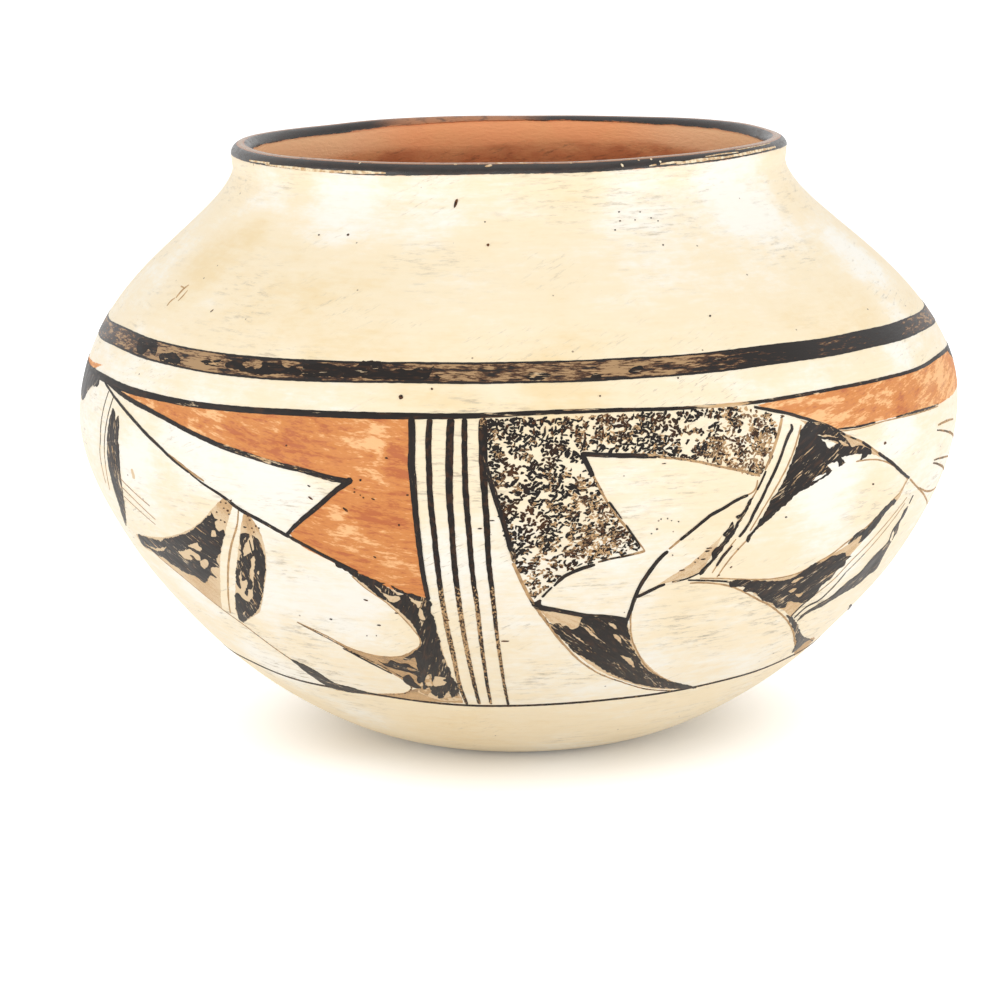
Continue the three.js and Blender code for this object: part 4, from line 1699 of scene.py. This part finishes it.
class JAR_OT_paint_rim(bpy.types.Operator):
    """Paint the lip black and chip it"""

    bl_idname = "jar.paint_rim"
    bl_label = "Paint the Rim"

    def execute(self, context):
        bench = the_bench(context)
        low = ring_edge(bench, RIM_EDGE, 0, 0.06 * MM, 11)
        crest = bench.outline.crest

        def high(turn):
            round_wall = Vector((math.cos(turn), math.sin(turn), 0))
            narrow = 1.8 * max(0.0, -math.cos(turn + 0.15)) ** 4
            wander = 0.4 * noise.noise(round_wall * 9) + 0.1 * noise.noise(round_wall * 60)
            return crest + (RIM_REACH - narrow + wander) * MM

        # where the black is thin: its turn and climb, its reach and how worn it is
        thin = ((math.radians(192), crest + 3 * MM, 36 * MM, 0.4),)
        depth = bench.shape.lip / 2 - 0.2 * MM
        flat = turned_strip(bench, low, high, RIM_COLUMNS, RIM_ROWS, 0.08 * MM, depth, 0.0, thin)
        # Along the crest the paint is marked worn, which rim_finish greys: rubbing and a painted highlight.
        off_crest = np.abs(flat.points[:, 1] - (crest - 0.4 * MM)) / MM
        flat.worn[flat.points[:, 1] < crest + 0.8 * MM] = 0
        flat.worn = np.maximum(flat.worn, 1.5 - off_crest)
        made = bench.lay("rim_paint", flat, bench.material("rim black", rim_finish))
        seat(made, "black_paint", "rim_coil")
        lift = 0.16 * MM
        chips = joined(mark_slab(bench, mark, lift, seed) for seed, mark in enumerate(table(RIM_CHIPS)))
        for i, line in enumerate(RIM_STREAKS):
            chips = chips + painted_line(bench, line, lift, 3000 + 3 * i)
        seat(bench.lay("rim_chips", chips, bench.material("chipped clay", chip_finish)), "cream_slip")
        return {"FINISHED"}


def mark_slab(bench, mark, lift, seed):
    """A small blot, as a slab on the wall."""
    length = mark[2]
    width = mark[3] if len(mark) > 3 else length
    slant = math.radians(mark[4]) if len(mark) > 4 else 0.0
    turn, climb = bench.on_wall(*mark[:2])
    radius = float(bench.outline.radius(climb))
    places = []
    for i in range(BLOT_CORNERS):
        angle = 2 * math.pi * i / BLOT_CORNERS
        wobble = 1 + 0.35 * noise.noise(Vector((math.cos(angle) * 1.3, math.sin(angle) * 1.3, seed * 3.1)))
        x = length * MM / 2 * math.cos(angle) * wobble
        y = width * MM / 2 * math.sin(angle) * wobble
        round_wall = (x * math.cos(slant) - y * math.sin(slant)) / radius
        places.append((turn + round_wall, climb + x * math.sin(slant) + y * math.cos(slant)))
    face = tuple(range(BLOT_CORNERS))
    zeros = np.zeros(BLOT_CORNERS)
    brush = np.zeros((BLOT_CORNERS, 3))
    return slab(np.array(places), [face], zeros, zeros, brush, lift, bench.brush.depth)


class JAR_OT_paint_rings(bpy.types.Operator):
    """Paint the shoulder band, the frieze's border and its ground line"""

    bl_idname = "jar.paint_rings"
    bl_label = "Paint the Rings"

    def execute(self, context):
        bench = the_bench(context)
        brush = bench.brush
        rings = (
            ("shoulder_band", SHOULDER_BAND, 6, 2.0, 0.45, BAND_WEAR, band_finish, "band black"),
            ("border_line", BORDER_LINE, 2, 2.5, 0.03, BORDER_WEAR, black_finish, "line black"),
            ("ground_line", GROUND_LINE, 2, 1.5, 0.35, "", tan_finish, "thin brown"),
        )
        for seed, (name, knots, rows, coats, worn, spots, finish, paint) in enumerate(rings):
            lift = coats * brush.proud
            on_wall = bench.spots_all_round(spots)
            low = ring_edge(bench, knots, 0, 0.5 * brush.ragged, seed + 1)
            high = ring_edge(bench, knots, 1, 0.5 * brush.ragged, seed + 20)
            depth = brush.depth + lift
            flat = turned_strip(bench, low, high, RING_COLUMNS, rows, lift, depth, worn, on_wall)
            seat(bench.lay(name, flat, bench.material(paint, finish)), "black_paint")
        return {"FINISHED"}


def lay_both(bench, name, front, finish, paint, slot):
    """Lays a pattern on the front and, turned half round, on the back."""
    made = bench.lay(name, front + front.behind(), bench.material(paint, finish))
    seat(made, slot)


def paint_areas(bench, name, areas, coats, finish, paint, slot, seed):
    """Fills the areas, each with random draws of its own."""
    lift = coats * bench.brush.proud
    front = joined(painted_area(bench, area, lift, seed + 10 * i) for i, area in enumerate(areas))
    lay_both(bench, name, front, finish, paint, slot)


def paint_lines(bench, name, lines, coats, finish, paint, seed):
    """Draws the lines, each with random draws of its own."""
    lift = coats * bench.brush.proud
    front = joined(painted_line(bench, line, lift, seed + 3 * i) for i, line in enumerate(lines))
    lay_both(bench, name, front, finish, paint, "black_paint")


class JAR_OT_paint_feathers(bpy.types.Operator):
    """Fill the orange feathers"""

    bl_idname = "jar.paint_feathers"
    bl_label = "Paint the Feathers"

    def execute(self, context):
        bench = the_bench(context)
        paint = "orange paint"
        paint_areas(bench, "orange_feathers", ORANGE_FEATHERS, 1, orange_finish, paint, "cream_slip", 100)
        return {"FINISHED"}


class JAR_OT_paint_washes(bpy.types.Operator):
    """Brush the tan washes under the black"""

    bl_idname = "jar.paint_washes"
    bl_label = "Paint the Washes"

    def execute(self, context):
        bench = the_bench(context)
        paint_areas(bench, "tan_washes", WASHES, 1, wash_finish, "tan wash", "black_paint", 300)
        return {"FINISHED"}


class JAR_OT_paint_blacks(bpy.types.Operator):
    """Fill the black areas"""

    bl_idname = "jar.paint_blacks"
    bl_label = "Paint the Blacks"

    def execute(self, context):
        bench = the_bench(context)
        areas = BLACK_AREAS + BAND_BLOCKS + EDGE_AREAS
        paint_areas(bench, "black_fills", areas, 2.6, black_finish, "line black", "black_paint", 500)
        return {"FINISHED"}


class JAR_OT_paint_lines(bpy.types.Operator):
    """Draw the brushed lines"""

    bl_idname = "jar.paint_lines"
    bl_label = "Paint the Lines"

    def execute(self, context):
        bench = the_bench(context)
        paint_lines(bench, "tan_lines", TAN_LINES, 1.5, tan_finish, "thin brown", 900)
        paint_lines(bench, "four_lines", WORN_LINES, 2, tan_finish, "thin brown", 1200)
        paint_lines(bench, "black_lines", BLACK_LINES, 3.2, black_finish, "line black", 1500)
        return {"FINISHED"}


class JAR_OT_stipple(bpy.types.Operator):
    """Dab the stippled field, in black and in thin brown"""

    bl_idname = "jar.stipple"
    bl_label = "Stipple the Field"

    def execute(self, context):
        bench = the_bench(context)
        brush = bench.brush
        dab = self.dab(brush)
        thin = STIPPLE_FIELD._replace(worn=-0.2, spots=BROWN_DABS)
        for name, field, paint, finish, size, seed in (
            ("stipple", STIPPLE_FIELD, "dab black", black_dab_finish, 1.08, brush.seed),
            ("stipple_thin", thin, "dab brown", brown_dab_finish, 0.85, brush.seed + 40),
        ):
            sheet = painted_area(bench, field, 0.0, 2000)
            count = len(sheet.points) // 2
            faces = [face for face in sheet.faces if max(face) < count]
            places = sheet.points[:count]
            front = Flat(places, faces, sheet.edge[:count], sheet.worn[:count], sheet.brush[:count])
            dabs = flat_object(name, front + front.behind())
            inputs = {
                "Outline": bench.curve,
                "Material": bench.material(paint, finish),
                "Dab": dab,
                "Radius": float(bench.outline.radius(places[:, 1].mean())),
                "Spacing": brush.dab_spacing,
                "Size": size,
                "Seed": seed,
            }
            seat(baked(dabs, bench.stippling, inputs), "black_paint")
        bpy.data.objects.remove(dab)
        return {"FINISHED"}

    @staticmethod
    def dab(brush):
        """One flat dab of paint with a few corners."""
        corners = DAB_CORNERS
        angles = [2 * math.pi * i / corners for i in range(corners)]
        ring = [(brush.dab_length / 2 * math.cos(a), brush.dab_width / 2 * math.sin(a)) for a in angles]
        top = [(x, y, 1.4 * brush.proud) for x, y in ring]
        bottom = [(x, y, -0.1 * MM) for x, y in ring]
        walls = [((i + 1) % corners, i, i + corners, (i + 1) % corners + corners) for i in range(corners)]
        mesh = bpy.data.meshes.new("dab")
        caps = [tuple(range(corners)), tuple(range(2 * corners - 1, corners - 1, -1))]
        mesh.from_pydata(top + bottom, [], caps + walls)
        return linked("dab", mesh)


class JAR_OT_mark(bpy.types.Operator):
    """Drop the small dark marks"""

    bl_idname = "jar.mark"
    bl_label = "Drop the Marks"

    def execute(self, context):
        bench = the_bench(context)
        lift = 3.5 * bench.brush.proud
        slanted = [(*spot, *SLANTED_DAB) for spot in table(SLANTED_DABS)]
        hanging = [(*spot, *HANGING_DAB) for spot in table(HANGING_DABS)]
        marks = (*table(" ".join(DARK_MARKS)), *slanted, *hanging)
        front = joined(mark_slab(bench, mark, lift, seed) for seed, mark in enumerate(marks))
        lay_both(bench, "dark_marks", front, speck_finish, "iron specks", "black_paint")
        return {"FINISHED"}


# The stage, in metres and watts: how far the floor reaches, and each lamp's place, the point it
# faces, its width and height, and its power
FLOOR_REACH = 6
LAMPS = {
    "key_left": ((-1.7, -0.9, 0.42), (0, 0, 0.08), 1.5, 0.8, 9.2),
    "key_right": ((1.7, -0.8, 0.42), (0, 0, 0.08), 1.5, 0.8, 9.8),
    "overhead": ((0, -0.2, 1.9), (0, 0, 0), 1.6, 1.6, 3.2),
    "front_fill": ((0, -2.4, 0.7), (0, 0, 0.05), 2.4, 0.8, 9.5),
}


def softbox(name, place, aim, width, height, power):
    """A rectangular lamp that faces a point."""
    lamp = bpy.data.lights.new(name, "AREA")
    lamp.shape = "RECTANGLE"
    lamp.size, lamp.size_y = width, height
    lamp.energy = power
    place = Vector(place)
    facing = (Vector(aim) - place).to_track_quat("-Z", "Y").to_matrix().to_4x4()
    linked(name, lamp).matrix_world = Matrix.Translation(place) @ facing


def plain_view_share(tree):
    """1 where the camera, a reflection or a refraction sees the surface."""
    path = tree.nodes.new("ShaderNodeLightPath").outputs
    seen = maths("MAXIMUM", Value(path["Is Camera Ray"]), Value(path["Is Glossy Ray"]))
    return maths("MAXIMUM", seen, Value(path["Is Transmission Ray"]))


class JAR_OT_set_stage(bpy.types.Operator):
    """Set the pale floor, the soft light and the camera"""

    bl_idname = "jar.set_stage"
    bl_label = "Set the Stage"

    def execute(self, context):
        context.scene.view_settings.view_transform = "Standard"
        self.floor()
        self.sky(context.scene)
        for name, lamp in LAMPS.items():
            softbox(name, *lamp)
        self.camera(context.scene)
        return {"FINISHED"}

    @staticmethod
    def floor():
        """A floor of pale paper, as white as the picture's where nothing shades it."""
        mesh = bpy.data.meshes.new("floor")
        reach = FLOOR_REACH
        corners = [(-reach, -reach, 0), (reach, -reach, 0), (reach, reach, 0), (-reach, reach, 0)]
        mesh.from_pydata(corners, [], [(0, 1, 2, 3)])
        material = bpy.data.materials.new("pale paper")
        material.use_nodes = True
        tree = material.node_tree
        shader = tree.nodes["Principled BSDF"]
        shader.inputs["Base Color"].default_value = (0.94, 0.94, 0.94, 1)
        shader.inputs["Roughness"].default_value = 0.9
        shader.inputs["Emission Color"].default_value = (1, 1, 1, 1)
        away = object_place(tree) * (1, 1, 0)
        distance = node_value(tree, "ShaderNodeVectorMath", {0: away}, "Value", operation="LENGTH")
        # The floor glows less within about 115 mm of the jar's middle: a painted shade round the foot, added
        # to its real shadow.
        glow_past_painted_shade = between(distance, 45 * MM, 115 * MM) * 0.49 + 0.08
        fill(shader.inputs["Emission Strength"], plain_view_share(tree) * glow_past_painted_shade)
        mesh.materials.append(material)
        linked("floor", mesh)

    @staticmethod
    def sky(scene):
        """A white surround that lights evenly."""
        world = bpy.data.worlds.new("white surround")
        world.use_nodes = True
        tree = world.node_tree
        back = tree.nodes["Background"]
        back.inputs["Color"].default_value = (1, 1, 1, 1)
        fill(back.inputs["Strength"], plain_view_share(tree) * 0.35 + 0.65)
        scene.world = world

    @staticmethod
    def camera(scene):
        """The camera at the picture's viewing angle."""
        lens = bpy.data.cameras.new("camera")
        lens.sensor_width = SENSOR_WIDTH
        lens.sensor_fit = "HORIZONTAL"
        lens.lens = SENSOR_WIDTH * PICTURE_FOCAL / PICTURE_SIZE
        lens.clip_start, lens.clip_end = 0.01, 50
        camera = linked("camera", lens)
        right, up, forward = camera_axes()
        turn = Matrix((right, up, -forward)).transposed().to_4x4()
        camera.matrix_world = Matrix.Translation(CAMERA_PLACE) @ turn
        scene.camera = camera


class JAR_PT_panel(bpy.types.Panel):
    """Builds the jar piece by piece"""

    bl_idname = "JAR_PT_panel"
    bl_label = "Clay Jar"
    bl_space_type = "VIEW_3D"
    bl_region_type = "UI"
    bl_category = "Clay Jar"

    def draw(self, context):
        for group in (context.scene.jar_shape, context.scene.jar_brush, context.scene.jar_colours):
            box = self.layout.box()
            for key in group.bl_rna.properties.keys():
                if key not in {"rna_type", "name"}:
                    box.prop(group, key)
        for operator in STEPS:
            self.layout.operator(operator.bl_idname)


STEPS = (
    JAR_OT_set_stage,
    JAR_OT_turn_outside,
    JAR_OT_turn_inside,
    JAR_OT_paint_rim,
    JAR_OT_paint_rings,
    JAR_OT_paint_feathers,
    JAR_OT_paint_washes,
    JAR_OT_paint_blacks,
    JAR_OT_paint_lines,
    JAR_OT_stipple,
    JAR_OT_mark,
)
GROUPS = {"jar_shape": JarShape, "jar_brush": JarBrush, "jar_colours": JarColours}


def register():
    for kind in (*GROUPS.values(), *STEPS, JAR_PT_panel):
        bpy.utils.register_class(kind)
    for name, kind in GROUPS.items():
        setattr(bpy.types.Scene, name, bpy.props.PointerProperty(type=kind))


def unregister():
    for name in GROUPS:
        delattr(bpy.types.Scene, name)
    for kind in (JAR_PT_panel, *reversed(STEPS), *reversed(GROUPS.values())):
        bpy.utils.unregister_class(kind)


def main():
    register()
    for operator in STEPS:
        group, name = operator.bl_idname.split(".")
        getattr(getattr(bpy.ops, group), name)()
    bpy.data.objects.remove(_shared["bench"].curve)


if __name__ == "__main__":
    main()
